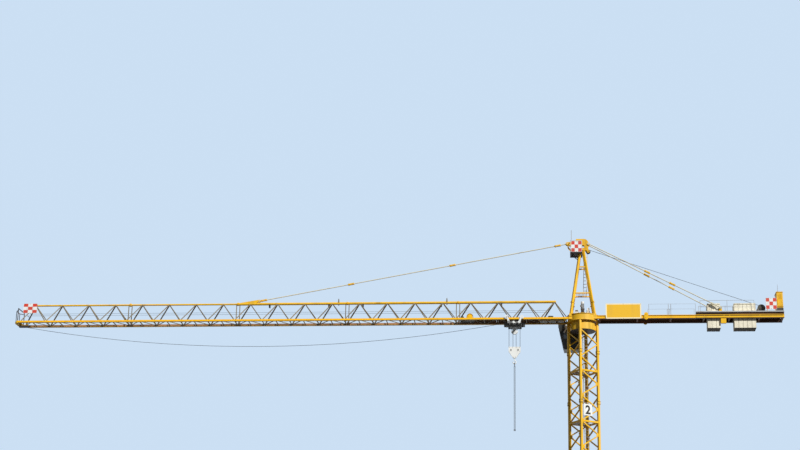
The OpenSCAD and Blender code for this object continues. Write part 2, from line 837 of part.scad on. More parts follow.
module jib_top_chord() color(yellow) at_chord() {
    top_chord_shape();
    for (side = [-1, 1])
        translate([0, side * 35 + 10, 0]) rotate([90, 0, 0]) linear_extrude(20) tie_lug();
    for (j = [1:jib_sections - 1]) for (d = [-1, 1])
        translate([joint_x(j) + d * 22, 0, jib_h]) rotate([0, 90, 0])
            cylinder(r = top_w / 2 + 22, h = 24, center = true, $fn = 48);
}

module lower_chord_shape(sy) {
    span([-jib_end, sy * gauge / 2 - lower_w / 2, -lower_w / 2],
        [-root_r, sy * gauge / 2 + lower_w / 2, lower_w / 2]);
}

// The flanges where the lower chords of two sections are pinned together
module lower_collars(sy) {
    for (j = [1:jib_sections - 1]) for (d = [-1, 1])
        translate([joint_x(j) + d * 22, sy * (gauge / 2 - 10), 0])
            cube([32, lower_w, lower_w + 26], center = true);
}

module jib_lower_chords() color(yellow) at_chord() {
    for (sy = [-1, 1]) {
        lower_chord_shape(sy);
        y = sy * (gauge / 2 + lower_w / 2 + ledge_w / 2);
        span([-jib_end, y - ledge_w / 2 - 1, -lower_w / 2],
            [-root_r - 40, y + ledge_w / 2 + 1, -lower_w / 2 + ledge_t]);
        lower_collars(sy);
    }
}

// Lower nodes stand in a little at both ends of the jib
function lower_node(i) =
    -min(max(root_r + i * bay, root_r + 60), jib_end - 60);

module jib_side(sy) color(yellow) at_chord() difference() {
    union() {
        for (i = [0:jib_sections * section_bays - 1]) {
            apex = [-(root_r + (i + 0.5) * bay), sy * apex_y, jib_h];
            bar([lower_node(i), sy * gauge / 2, 0], apex, side_bar * 0.75);
            bar([lower_node(i + 1), sy * gauge / 2, 0], apex, side_bar);
        }
    }
    lower_chord_shape(sy);
    lower_collars(sy);
    top_chord_shape();
}

module jib_near_side() jib_side(-1);
module jib_far_side() jib_side(1);

// Floor bars stand in a little at both ends of the jib
function floor_x(i) = -min(max(root_r + i * bay / 2, drum_clear + floor_bar / 2), jib_end - 30);

module jib_floor() color(yellow) at_chord() difference() {
    steps = jib_sections * section_bays * 2;
    half = gauge / 2;
    union() {
        for (i = [0:steps]) {
            side = (i % 2 == 0) ? 1 : -1;
            bar([floor_x(i), -half, 0], [floor_x(i), half, 0], floor_bar);
            if (i < steps)
                bar([floor_x(i), side * half, 0], [floor_x(i + 1), -side * half, 0], floor_bar * 0.8);
        }
        for (j = [1:jib_sections - 1]) for (d = [-1, 1]) {
            x = joint_x(j) + d * joint_gap / 2;
            bar([x, -half, 0], [x, half, 0], floor_bar);
            bar([x, 0, 0], [x, 0, jib_h], floor_bar);
        }
    }
    for (sy = [-1, 1]) {
        lower_chord_shape(sy);
        lower_collars(sy);
    }
    top_chord_shape();
}

tip_pulley_x = -(jib_end - 290);
tip_pulley_drop = 105;
tip_r = 60;
tip_pin_r = 15;

module jib_tip() color(yellow) at_chord() {
    half = gauge / 2 + lower_w / 2;
    span([-jib_end - 90, -half, -lower_w / 2], [-jib_end, half, lower_w / 2]);
    span([-jib_end - 210, -half * 0.55, -lower_w / 2], [-jib_end - 89, half * 0.55, lower_w / 2]);
    for (y = [-half + 20, half - 20]) {
        bar([-jib_end - 45, y, lower_w / 2 - 5], [-jib_end - 45, y, 640], 30);
        bar([-jib_end - 190, y * 0.5, lower_w / 2 - 5], [-jib_end - 190, y * 0.5, 560], 24);
        bar([-jib_end - 45, y, 560], [-jib_end - 190, y * 0.5, 545], 24);
    }
    bar([-jib_end - 45, -half + 20, 625], [-jib_end - 45, half - 20, 625], 30);
    bar([-jib_end - 190, -half * 0.5, 545], [-jib_end - 190, half * 0.5, 545], 24);
    for (side = [-1, 1]) {
        difference() {
            span([-jib_end - 80, side * 38 - 8, -tip_pulley_drop - 60],
                [tip_pulley_x + 60, side * 38 + 8, -lower_w / 2 + 1]);
            across(tip_pin_r + seat_gap, 400, [tip_pulley_x, 0, -tip_pulley_drop]);
        }
    }
}

// Ropes and their sheaves

module rope_pulleys() color(dark) at_chord() {
    sheave(cap_sheave_at, cap_sheave_r, 44, 2 * (cheek_y + cheek_t) + 20, pin_d / 2 - seat_gap);
    sheave([tip_pulley_x, 0, -tip_pulley_drop], tip_r, 36, 110, tip_pin_r);
}

winch_x = counter_end - 945;
winch_up = 180;
winch_r = 140;
winch_drum = [winch_x, 0, deck_z1 + winch_up];
trolley_winch_x = -5003;
trolley_winch_up = 148;

// A drum along Y with wound rope between two flanges
module rope_drum(r, len, at) {
    wraps = floor(len / (2.2 * rope_d));
    pitch = len / wraps;
    translate(at) rotate([90, 0, 0]) {
        cylinder(r = r - rope_d / 2, h = len + 20, center = true, $fn = 64);
        for (k = [0:wraps - 1]) translate([0, 0, (k + 0.5) * pitch - len / 2])
            cylinder(r = r, h = pitch * 0.7, center = true, $fn = 64);
        for (side = [-1, 1]) translate([0, 0, side * (len / 2 + 10)])
            cylinder(r = r + 24, h = 20, center = true, $fn = 64);
    }
}

// A bearing stand with sloped sides, in the XZ plane
module bearing_stand(up, foot_half, top_r) {
    polygon([[-foot_half, 0], [foot_half, 0], [top_r, up], [-top_r, up]]);
    translate([0, up]) circle(r = top_r, $fn = 48);
}

module hoist_winch() translate([winch_x, 0, deck_z1]) {
    for (side = [-1, 1]) span([-250, side * 290 - 35, 0], [250, side * 290 + 35, 50]);
    for (x = [-215, 215]) span([x - 30, -290, 0], [x + 30, 290, 50]);
    rope_drum(winch_r, 400, [0, 0, winch_up]);
    for (side = [-1, 1]) translate([0, side * 260 + 14, 49]) rotate([90, 0, 0]) linear_extrude(28)
        bearing_stand(winch_up - 49, 150, 62);
    across(38, 560, [0, 0, winch_up]);
    translate([120, 292, winch_up]) rotate([90, 0, 0]) cylinder(r = 88, h = 60, center = true, $fn = 48);
    span([110, -235, 49], [130, 235, 90]);
}

// A small winch on a plate inside the jib, with a half-round cover and its motor beside it
module trolley_winch() translate([trolley_winch_x, 0, floor_bar / 2 + seat_gap]) {
    half = gauge / 2 - lower_w / 2 - 2;
    cover_r = 150;
    cover_wall = 8;
    motor_x = -330;
    motor_up = 120;
    span([-440, -half, 0], [180, half, 24]);
    rope_drum(95, 280, [0, 0, trolley_winch_up]);
    for (side = [-1, 1]) translate([0, side * 175 + 8, 23]) rotate([90, 0, 0]) linear_extrude(16)
        bearing_stand(trolley_winch_up - 23, 95, 40);
    across(22, 370, [0, 0, trolley_winch_up]);
    translate([0, 166, trolley_winch_up]) rotate([90, 0, 0]) linear_extrude(332) difference() {
        circle(r = cover_r, $fn = 96);
        circle(r = cover_r - cover_wall, $fn = 96);
        translate([-200, -200]) square([400, 200]);
    }
    for (side = [-1, 1]) for (sx = [-1, 1])
        translate([sx * (cover_r - cover_wall / 2), side * cover_r, (trolley_winch_up + 24) / 2])
            cube([cover_wall, 28, trolley_winch_up - 22], center = true);
    across(62, 250, [motor_x, 0, motor_up]);
    across(46, 340, [motor_x, 0, motor_up]);
    span([motor_x - 45, -80, 23], [motor_x + 45, 80, motor_up - 40]);
}

module rope_winches() color(grey) at_chord() {
    hoist_winch();
    trolley_winch();
}

// A tube of few sides swept along points in the XZ plane
module swept(path, d, sides) {
    n = len(path);
    function unit(v) = v / norm(v);
    function along(i) = unit(path[min(i + 1, n - 1)] - path[max(i - 1, 0)]);
    rings = [for (i = [0:n - 1]) for (k = [0:sides - 1])
        let(t = along(i), a = 360 * k / sides)
        [path[i].x - t[1] * d / 2 * cos(a), d / 2 * sin(a), path[i][1] + t[0] * d / 2 * cos(a)]];
    polyhedron(rings, concat(
        [[for (k = [0:sides - 1]) k]],
        [for (i = [0:n - 2]) for (k = [0:sides - 1])
            let(a = i * sides + k, b = i * sides + (k + 1) % sides) [a, a + sides, b + sides, b]],
        [[for (k = [sides - 1:-1:0]) (n - 1) * sides + k]]));
}

module jib_run_rope() color(dark) at_chord() {
    swept(run_route, rope_d, 8);
}

// Direction from a wheel's centre to where a rope over two wheels touches their upper sides
function upper_normal(a, ra, b, rb) =
    let(d = b - a, t = atan2(d.z, d.x) + acos((ra - rb) / norm(d))) [cos(t), 0, sin(t)];

module taut_ropes() color(dark) at_chord() {
    drum_wrap = winch_r + rope_d / 2 + seat_gap;
    n = upper_normal(cap_sheave_at, cap_sheave_r, winch_drum, drum_wrap);
    rod(cap_sheave_at + n * cap_sheave_r, winch_drum + n * drum_wrap, rope_d);
}

// Counter-jib

// Near face of a slab, and the face of a group's far end when i is its number of slabs
function slab_x(group, i) = (group == 0 ? front_slab_x : rear_slab_x) + i * (slab_t + slab_gap);

// The rounded plates that pin the counter-jib's two lengths together
module counter_splice() {
    pin_z = [girder_z0 + 40, girder_z1 + 30];
    difference() {
        union() {
            for (z = pin_z) translate([counter_joint, z]) circle(r = 88, $fn = 64);
            translate([counter_joint - 88, pin_z[0]]) square([176, pin_z[1] - pin_z[0]]);
        }
        for (z = pin_z) translate([counter_joint, z]) circle(d = pin_d, $fn = 48);
    }
}

module rear_lugs() {
    for (side = [-1, 1])
        translate([0, side * girder_gauge / 2 + 15, 0]) rotate([90, 0, 0]) linear_extrude(30)
            difference() {
                union() {
                    translate([rear_lug.x, rear_lug.z]) circle(r = eye_r, $fn = 48);
                    translate([rear_lug.x - eye_r, deck_z1])
                        square([2 * eye_r, rear_lug.z - deck_z1]);
                    translate([rear_lug.x, 0])
                        polygon([[-1.4 * eye_r, girder_z1 - 5], [1.4 * eye_r, girder_z1 - 5],
                            [eye_r, deck_z1 + 1], [-eye_r, deck_z1 + 1]]);
                }
                translate([rear_lug.x, rear_lug.z]) circle(d = pin_d, $fn = 48);
            }
}

module counter_jib() color(yellow) at_chord() {
    cross_x = [drum_clear + 40, counter_joint - 375, (counter_joint + deck_start) / 2,
        front_slab_x - 145, slab_x(0, front_slabs) + 135, rear_slab_x - 200,
        slab_x(1, rear_slabs) + 150, counter_end - 40];
    for (side = [-1, 1]) {
        translate([root_r + counter_len / 2, side * girder_gauge / 2, girder_z0])
            i_beam(counter_len, girder_h, girder_w, 22, 30);
        for (d = [12, girder_w / 2 + 12])
            translate([0, side * (girder_gauge / 2 + d) + 9, 0]) rotate([90, 0, 0]) linear_extrude(18)
                counter_splice();
        across(pin_d / 2 + 1, 90, [counter_joint, side * (girder_gauge / 2 + 36), girder_z0 + 40]);
        across(pin_d / 2 + 1, 90, [counter_joint, side * (girder_gauge / 2 + 36), girder_z1 + 30]);
        span([deck_start, side * (girder_gauge / 2 + girder_w / 2 + 3) - 6, girder_z0 + 20],
            [counter_end, side * (girder_gauge / 2 + girder_w / 2 + 3) + 6, girder_z0 + 92]);
        for (x = cross_x)
            if (x > deck_start)
                span([x - 8, side * (girder_gauge / 2 + 25) - 22, girder_z0 + 21],
                    [x + 8, side * (girder_gauge / 2 + 25) + 22, girder_z1 - 21]);
    }
    rear_lugs();
    for (x = cross_x)
        span([x - 35, -girder_gauge / 2, girder_z0 + 30], [x + 35, girder_gauge / 2, girder_z1 - 30]);
    span([rear_lug.x, -girder_gauge / 2 - 30, girder_z0 - 230],
        [rear_lug.x + 230, -slab_w / 2 - 12, girder_z0 + 1]);
}

module counter_jib_deck() color(grey) at_chord() {
    half = girder_gauge / 2 + girder_w / 2 + deck_out;
    support_x = [deck_start + 60, front_slab_x - 125, slab_x(0, front_slabs) + 175,
        rear_slab_x - 120, slab_x(1, rear_slabs) + 90, counter_end - 60];
    difference() {
        span([deck_start, -half, deck_z0], [counter_end, half, deck_z1]);
        for (g = [0, 1]) {
            count = g == 0 ? front_slabs : rear_slabs;
            span([slab_x(g, 0) - 20, -slab_w / 2 - 20, deck_z0 - 1],
                [slab_x(g, count) + 8, slab_w / 2 + 20, deck_z1 + 1]);
        }
        for (side = [-1, 1])
            span([rear_lug.x - 1.4 * eye_r - 20, side * girder_gauge / 2 - 30, deck_z0 - 1],
                [rear_lug.x + 1.4 * eye_r + 20, side * girder_gauge / 2 + 62, deck_z1 + 1]);
    }
    for (side = [-1, 1]) for (x = support_x)
        span([x - 40, side * girder_gauge / 2 - 30, girder_z1],
            [x + 40, side * girder_gauge / 2 + 30, deck_z0 + 1]);
    span([drum_clear, -girder_gauge / 2 + girder_w / 2, girder_z1 - 30],
        [deck_start, girder_gauge / 2 - girder_w / 2, girder_z1 - 14]);
}

module rail_run(x0, x1, y, z0, top, step) {
    count = floor((x1 - x0) / step);
    mid = (z0 + top) / 2 - 60;
    for (i = [0:count]) {
        x = x0 + i * (x1 - x0) / count;
        rod([x, y, z0], [x, y, top], rail_d);
    }
    rod([x0 - rail_d / 2, y, top], [x1 + rail_d / 2, y, top], rail_d);
    rod([x0, y, mid], [x1, y, mid], rail_d * 0.7);
}

module counter_jib_rails() color(grey) at_chord() {
    rail_end = winch_x - 340;
    top = girder_z1 + rail_h;
    wire_z = top - 130;
    wire_x0 = counter_joint + 120;
    wire_x1 = deck_start - 20;
    for (side = [-1, 1]) {
        inner_y = side * (girder_gauge / 2 + 25);
        for (x = [counter_joint + 975, counter_joint + 1080])
            rod([x, inner_y, girder_z1], [x, inner_y, top - 120], rail_d * 1.6);
        rod([wire_x0, inner_y, girder_z1], [wire_x0, inner_y, wire_z], rail_d);
        rod([wire_x0, inner_y, wire_z], [wire_x1, inner_y, wire_z], rail_d * 0.6);
        rod([wire_x1, inner_y, girder_z1], [wire_x1, inner_y, top - 120], rail_d);
        rail_run(deck_start + 180, rail_end, side * (girder_gauge / 2 + girder_w / 2 + deck_out - 15),
            deck_z1, top, 780);
    }
}

module counterweights() color("#d9d2be") at_chord() {
    nib = slab_w / 2 + 50;
    top = deck_z1 + slab_up;
    half = slab_w / 2;
    groove = [top - 78, top - 62];
    for (g = [0, 1]) for (i = [0:(g == 0 ? front_slabs : rear_slabs) - 1])
        translate([slab_x(g, i), 0, 0]) rotate([90, 0, 90]) linear_extrude(slab_t) difference() {
            union() {
                translate([-half, -slab_down]) square([slab_w, top + slab_down]);
                translate([-nib, deck_z1]) square([2 * nib, 70]);
            }
            for (side = [-1, 1])
                translate([side * half - 10, groove[0]]) square([20, groove[1] - groove[0]]);
            translate([-45, top - 50]) square([90, 51]);
        }
}

module control_cabinet() color(yellow) at_chord() {
    x0 = counter_end - 275;
    base = deck_z1 + 227;
    foot = deck_z1 + 241;
    top = deck_z1 + 882;
    for (x = [x0 + 10, counter_end - 45]) for (y = [-300, 265])
        span([x, y, deck_z1], [x + 35, y + 35, base + 1]);
    span([x0 + 30, -290, deck_z1], [counter_end - 30, 290, base - 30]);
    span([x0 - 8, -322, base], [counter_end, 322, foot + 1]);
    difference() {
        span([x0, -310, foot], [counter_end - 8, 310, top]);
        for (z = [foot + 330:44:foot + 520])
            span([x0 + 60, -311, z], [counter_end - 68, -298, z + 22]);
        for (z = [foot + 60, foot + 600]) span([x0 + 22, -311, z], [counter_end - 30, -306, z + 6]);
    }
    span([x0 - 18, -328, top - 1], [counter_end + 2, 328, top + 22]);
}

// A chequered board from its low corner, with its face towards -Y
module check_board(x, y, z) {
    span([x, y - board_t, z], [x + check_w, y, z + check_h]);
}

tip_sign = [-25490, -240, 450];
rear_board_x = counter_end - 780;

module sign_panels() color(white) at_chord() {
    y0 = -girder_gauge / 2 - girder_w / 2;
    span([sign_x, y0 - board_t, -45], [sign_x + sign_len, y0, sign_h - 45]);
    check_board(rear_board_x, y0 - deck_out, deck_z1 + 62);
    for (x = [rear_board_x + 50, rear_board_x + check_w - 75])
        span([x, y0 - deck_out - 1, deck_z1], [x + 25, y0 - deck_out + 24, deck_z1 + check_h]);
    check_board(platform_x0 + 49, -platform_y, platform_z + 25);
    span([tip_sign.x, tip_sign.y - board_t, tip_sign.z], [tip_sign.x + 640, tip_sign.y, tip_sign.z + 455]);
    span([tip_sign.x + 560, tip_sign.y - 1, jib_h - 15],
        [tip_sign.x + 620, -top_w_outer / 2 - seat_gap, jib_h + 15]);
}

// Trolley and hook

module at_trolley() {
    translate([-trolley_r, 0, chord_z]) children();
}

wheel_z = -lower_w / 2 + ledge_t + wheel_r + seat_gap;
wheel_y = gauge / 2 + lower_w / 2 + ledge_w / 2 + 2;
plate_y = gauge / 2 + lower_w / 2 + ledge_w + 12;
trolley_sheave_x = outer_fall + trolley_sheave_r;
mid_cheek_y = 22;
cross_x = 195;
cross_z0 = -235;
cross_z1 = -150;

// The bent arm that reaches from the body up to one wheel, in the XZ plane
module wheel_arm() {
    difference() {
        polygon([[195, cross_z1], [290, cross_z1], [312, -40], [wheel_x + 62, -20], [wheel_x + 62, 96],
            [wheel_x + 10, 138], [290, 138], [272, 50]]);
        translate([wheel_x, wheel_z]) circle(r = 13, $fn = 48);
        translate([250, -105]) circle(r = 16, $fn = 32);
    }
}

// Outline of the middle sheave's cheeks, round below and slotted beside the sheave
module mid_cheek_outline() {
    r = 155;
    difference() {
        union() {
            translate([0, -mid_sheave_drop]) circle(r = r, $fn = 96);
            translate([-r, -mid_sheave_drop]) square([2 * r, mid_sheave_drop + cross_z0 - 20]);
            translate([-90, cross_z0 - 21]) square([180, 100]);
        }
        translate([0, -mid_sheave_drop]) circle(r = 26, $fn = 48);
        for (sx = [-1, 1]) translate([sx * 112, -mid_sheave_drop]) {
            translate([-17, 0]) square([34, 120]);
            circle(r = 17, $fn = 32);
            translate([0, 120]) circle(r = 17, $fn = 32);
        }
    }
}

module trolley_frame() color(grey) at_trolley() {
    side_y = plate_y + 10;
    sheave_y = mid_cheek_y + 35;
    for (side = [-1, 1]) {
        translate([0, side * side_y + 10, 0]) rotate([90, 0, 0]) linear_extrude(20) {
            wheel_arm();
            mirror([1, 0]) wheel_arm();
            translate([-300, cross_z0]) square([600, cross_z1 - cross_z0 + 1]);
        }
        difference() {
            span([-trolley_half, side * sheave_y - 15, -270], [trolley_half, side * sheave_y + 15, -90]);
            for (sx = [-1, 1]) across(26, 400, [sx * trolley_sheave_x, 0, -trolley_sheave_drop]);
        }
        translate([0, side * (mid_cheek_y + 10) + 10, 0]) rotate([90, 0, 0]) linear_extrude(20)
            mid_cheek_outline();
    }
    for (sx = [-1, 1])
        span([sx * cross_x - 32, -side_y, cross_z0 + 15], [sx * cross_x + 32, side_y, cross_z1]);
}

module trolley_wheels() color(dark) at_trolley() {
    for (sx = [-1, 1]) for (side = [-1, 1]) {
        across(wheel_r, 38, [sx * wheel_x, side * wheel_y, wheel_z]);
        across(12.7, 60, [sx * wheel_x, side * (wheel_y + 19), wheel_z]);
    }
    for (sx = [-1, 1])
        sheave([sx * trolley_sheave_x, 0, -trolley_sheave_drop], trolley_sheave_r, 36,
            2 * (mid_cheek_y + 50), 25.7);
    sheave([0, 0, -mid_sheave_drop], inner_fall, 36, 2 * (mid_cheek_y + 30), 25.7);
}

block_x = (outer_fall + inner_fall) / 2;
block_r = (outer_fall - inner_fall) / 2;

module hoist_falls() color(dark) at_trolley() {
    for (sx = [-1, 1]) {
        rod([sx * outer_fall, 0, -block_drop], [sx * outer_fall, 0, -trolley_sheave_drop], rope_d);
        rod([sx * inner_fall, 0, -block_drop], [sx * inner_fall, 0, -mid_sheave_drop], rope_d);
    }
}

block_low = -block_drop - 375;

module block_cheeks() color(white) at_trolley() {
    inner = 22;
    for (side = [-1, 1])
        translate([0, side * (inner + block_cheek_t / 2) + block_cheek_t / 2, 0])
            rotate([90, 0, 0]) linear_extrude(block_cheek_t) difference() {
                polygon([[-outer_fall - 20, -block_drop + 135], [outer_fall + 20, -block_drop + 135],
                    [outer_fall + 20, -block_drop - 80], [60, block_low], [-60, block_low],
                    [-outer_fall - 20, -block_drop - 80]]);
                for (sx = [-1, 1]) translate([sx * block_x, -block_drop]) circle(r = 26, $fn = 48);
            }
    difference() {
        span([-75, -inner - 1, block_low], [75, inner + 1, block_low + 90]);
        translate([0, 0, block_low - 1]) cylinder(d = shank_d * 0.8 + 0.2, h = 100, $fn = 48);
    }
}

module block_sheaves() color(dark) at_trolley() {
    for (sx = [-1, 1])
        sheave([sx * block_x, 0, -block_drop], block_r, 36, 2 * (22 + block_cheek_t) + 16, 25.7);
}

hook_z = block_low - 190;

module hook() color(white) at_trolley() {
    translate([0, 0, block_low + 90 + seat_gap]) cylinder(r = 21, h = 30, $fn = 6);
    translate([0, 0, hook_z + hook_r])
        cylinder(d = shank_d * 0.8, h = block_low + 95 - hook_z - hook_r, $fn = 48);
    translate([0, 0, hook_z]) rotate([90, 0, 0]) rotate([0, 0, -200])
        rotate_extrude(angle = 290, $fn = 64) translate([hook_r, 0]) circle(d = hook_t, $fn = 32);
}

sling_x = 22;
link_r = 70;
link_d = 26;
link_z = hook_z - hook_r + hook_t / 2 - link_r + link_d / 2 + seat_gap;

module sling_legs() color(dark) at_trolley() {
    z1 = link_z - link_r - link_d / 2 - 40;
    for (sx = [-1, 1]) rod([sx * sling_x, 0, z1 - sling_len], [sx * sling_x, 0, z1], sling_d);
}

module sling_fittings() color(dark) at_trolley() {
    z1 = link_z - link_r - link_d / 2 - 40;
    translate([0, 0, link_z]) rotate([0, 90, 0]) rotate_extrude($fn = 64)
        translate([link_r, 0]) circle(d = link_d, $fn = 24);
    for (sx = [-1, 1]) {
        rod([sx * sling_x, 0, z1], [sx * sling_x, 0, z1 + 30], sling_d + 6);
        rod([sx * sling_x, 0, z1 + 25], [sx * sling_x * 0.3, 0, link_z - link_r], sling_d + 2);
        rod([sx * sling_x, 0, z1 - sling_len - 70], [sx * sling_x, 0, z1 - sling_len], sling_d + 14);
    }
}

base_frame();
tower_legs();
tower_side_1();
tower_side_2();
tower_side_3();
tower_side_4();
tower_ladder();
rest_platforms();
tower_head();
number_plate();
turntable();
slewing_motors();
cab_shell();
cab_windows();
top_front_frame();
top_rear_frame();
top_side_braces();
top_cap();
top_platform();
front_tie();
rear_ties();
jib_top_chord();
jib_lower_chords();
jib_near_side();
jib_far_side();
jib_floor();
jib_tip();
rope_pulleys();
rope_winches();
jib_run_rope();
taut_ropes();
counter_jib();
counter_jib_deck();
counter_jib_rails();
counterweights();
control_cabinet();
sign_panels();
trolley_frame();
trolley_wheels();
hoist_falls();
block_cheeks();
block_sheaves();
hook();
sling_legs();
sling_fittings();
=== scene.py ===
"""Looks for a tower crane at half size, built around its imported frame.

The frame gives every place: the crane stands on the Z axis, its jib points to -X at rest
and all lengths are in metres.
"""

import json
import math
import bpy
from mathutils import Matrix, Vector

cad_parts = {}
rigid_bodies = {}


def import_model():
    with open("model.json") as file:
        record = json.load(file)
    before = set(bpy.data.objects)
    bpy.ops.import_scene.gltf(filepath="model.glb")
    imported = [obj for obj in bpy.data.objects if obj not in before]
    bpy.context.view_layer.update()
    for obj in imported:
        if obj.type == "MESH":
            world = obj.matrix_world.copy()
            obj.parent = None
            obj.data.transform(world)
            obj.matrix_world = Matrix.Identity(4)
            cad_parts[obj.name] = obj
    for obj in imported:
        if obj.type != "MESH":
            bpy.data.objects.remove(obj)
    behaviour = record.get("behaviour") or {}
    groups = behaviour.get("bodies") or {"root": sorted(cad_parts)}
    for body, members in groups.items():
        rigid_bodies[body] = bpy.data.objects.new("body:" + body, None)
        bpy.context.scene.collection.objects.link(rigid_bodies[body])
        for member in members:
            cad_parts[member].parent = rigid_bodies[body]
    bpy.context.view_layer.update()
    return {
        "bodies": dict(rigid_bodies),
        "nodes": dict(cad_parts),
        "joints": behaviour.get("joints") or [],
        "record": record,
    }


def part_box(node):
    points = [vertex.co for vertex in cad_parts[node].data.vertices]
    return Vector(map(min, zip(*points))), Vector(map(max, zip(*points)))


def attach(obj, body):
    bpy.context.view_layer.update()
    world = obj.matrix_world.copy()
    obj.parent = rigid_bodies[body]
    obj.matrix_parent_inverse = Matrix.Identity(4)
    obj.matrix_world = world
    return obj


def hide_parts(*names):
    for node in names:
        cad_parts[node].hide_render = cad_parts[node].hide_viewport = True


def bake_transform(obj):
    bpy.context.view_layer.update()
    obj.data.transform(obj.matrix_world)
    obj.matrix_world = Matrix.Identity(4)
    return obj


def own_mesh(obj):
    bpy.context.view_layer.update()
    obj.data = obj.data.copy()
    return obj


bl_info = {
    "name": "Tower crane looks",
    "version": (1, 0, 0),
    "blender": (4, 5, 0),
    "location": "3D View > Sidebar > Crane",
    "description": "Paint, ropes, boards, fasteners and a stage for the tower crane",
    "category": "Object",
}

import bpy
from mathutils import Matrix, Vector

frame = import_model()


# Places that come from the frame

def middle(node):
    low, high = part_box(node)
    return (low + high) / 2


# Heights in this script are measured from here, the centre line of the jib's lower chords
CHORD_Z = middle("jib_lower_chords").z
TROLLEY_X = middle("trolley_wheels").x
# Feet of the base frame
FOOT = next(m for m in frame["record"]["mounts"] if m["name"] == "foot_1_anchors")
FOOT_RADIUS = math.hypot(*FOOT["pos_m"][:2])
FOOT_TOP = 0.040
ANCHOR_RADIUS = FOOT["dims"]["pcd_mm"] / 2000
# The tower: its turn against the jib, its sections and the leg centres' distance from its axis
TOWER_TURN = math.atan2(FOOT["pos_m"][1], FOOT["pos_m"][0]) - math.radians(45)
SECTION = 2.25
SECTIONS = 9
BASE_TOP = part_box("base_frame")[1].z
TOWER_HALF = 0.455
# The jib: its chords, its root joint and its bays
CHORD_Y = 0.4075
JIB_TOP = 0.865
ROOT_X = 0.61
BAY = 1.25
SECTION_BAYS = 4
JIB_SECTIONS = 5
# The tower top: what it stands on and where its legs meet
TURNTABLE_TOP = 0.180
LEG_HEAD = 3.225
# The material slot that the record gives each node
SLOT_OF = {part["node"]: part["material_slot"] for part in frame["record"]["subparts"]}


# Settings

def shade(name, description, default):
    return bpy.props.FloatVectorProperty(
        name=name, description=description, subtype="COLOR", default=default, min=0, max=1)


def measure(name, description, default):
    return bpy.props.FloatProperty(
        name=name, description=description, unit="LENGTH", default=default)


def angle_of(name, description, degrees):
    return bpy.props.FloatProperty(
        name=name, description=description, subtype="ANGLE", default=math.radians(degrees))


class CranePaint(bpy.types.PropertyGroup):
    yellow: shade("Yellow", "Paint of the steelwork", (0.84, 0.47, 0.010))
    grey: shade("Grey", "Paint of motors and winches", (0.28, 0.29, 0.29))
    white: shade("White", "Paint of the hook block and trolley", (0.80, 0.81, 0.78))
    red: shade("Red", "Red of the chequered boards", (0.62, 0.045, 0.02))
    concrete: shade("Concrete", "Painted concrete of the counterweights", (0.86, 0.80, 0.62))
    cab: shade("Cab", "Dark paint of the cab", (0.025, 0.027, 0.027))


class CraneSizes(bpy.types.PropertyGroup):
    rope: measure("Rope", "Diameter of the hoist rope", 0.018)
    border: measure("Border", "Width of a board's pale border", 0.050)
    bolt: measure("Bolt", "Width of a bolt head", 0.036)


class CraneStage(bpy.types.PropertyGroup):
    lens: bpy.props.FloatProperty(
        name="Lens", description="Focal length on a 36 mm sensor", default=75.96)
    eye: bpy.props.FloatVectorProperty(
        name="Eye", description="Place of the camera", subtype="XYZ", unit="LENGTH",
        default=(-0.55, -72.9, CHORD_Z - 19.45))
    turn: angle_of("Turn", "Turn of the camera to the left", 6.02)
    rise: angle_of("Rise", "How far the camera looks up", 18.14)
    roll: angle_of("Roll", "Roll of the camera", 1.18)
    sky: shade("Sky", "Plain colour behind the crane", (0.60, 0.74, 0.90))
    floor: shade("Floor", "Colour of the floor", (0.62, 0.64, 0.65))


# Materials

class Number:
    """A number in a material. Arithmetic on it adds Math nodes."""

    def __init__(self, finish, socket):
        self.finish = finish
        self.socket = socket

    def _math(self, operation, *terms):
        return self.finish.node("ShaderNodeMath", {"operation": operation}, dict(enumerate(terms)))

    def __add__(self, other):
        return self._math("ADD", self, other)

    __radd__ = __add__

    def __sub__(self, other):
        return self._math("SUBTRACT", self, other)

    def __rsub__(self, other):
        return self._math("SUBTRACT", other, self)

    def __mul__(self, other):
        return self._math("MULTIPLY", self, other)

    __rmul__ = __mul__

    def __truediv__(self, other):
        return self._math("DIVIDE", self, other)

    def __lt__(self, other):
        return self._math("LESS_THAN", self, other)

    def smooth(self, low, high):
        """0 below low, 1 above high and a soft step between them."""
        return self.finish.node(
            "ShaderNodeMapRange", {"interpolation_type": "SMOOTHSTEP"},
            {"Value": self, "From Min": low, "From Max": high})

    def fraction(self):
        return self._math("FRACT", self)

    def floor(self):
        return self._math("FLOOR", self)

    def size(self):
        return self._math("ABSOLUTE", self)

    def modulo(self, other):
        return self._math("FLOORED_MODULO", self, other)


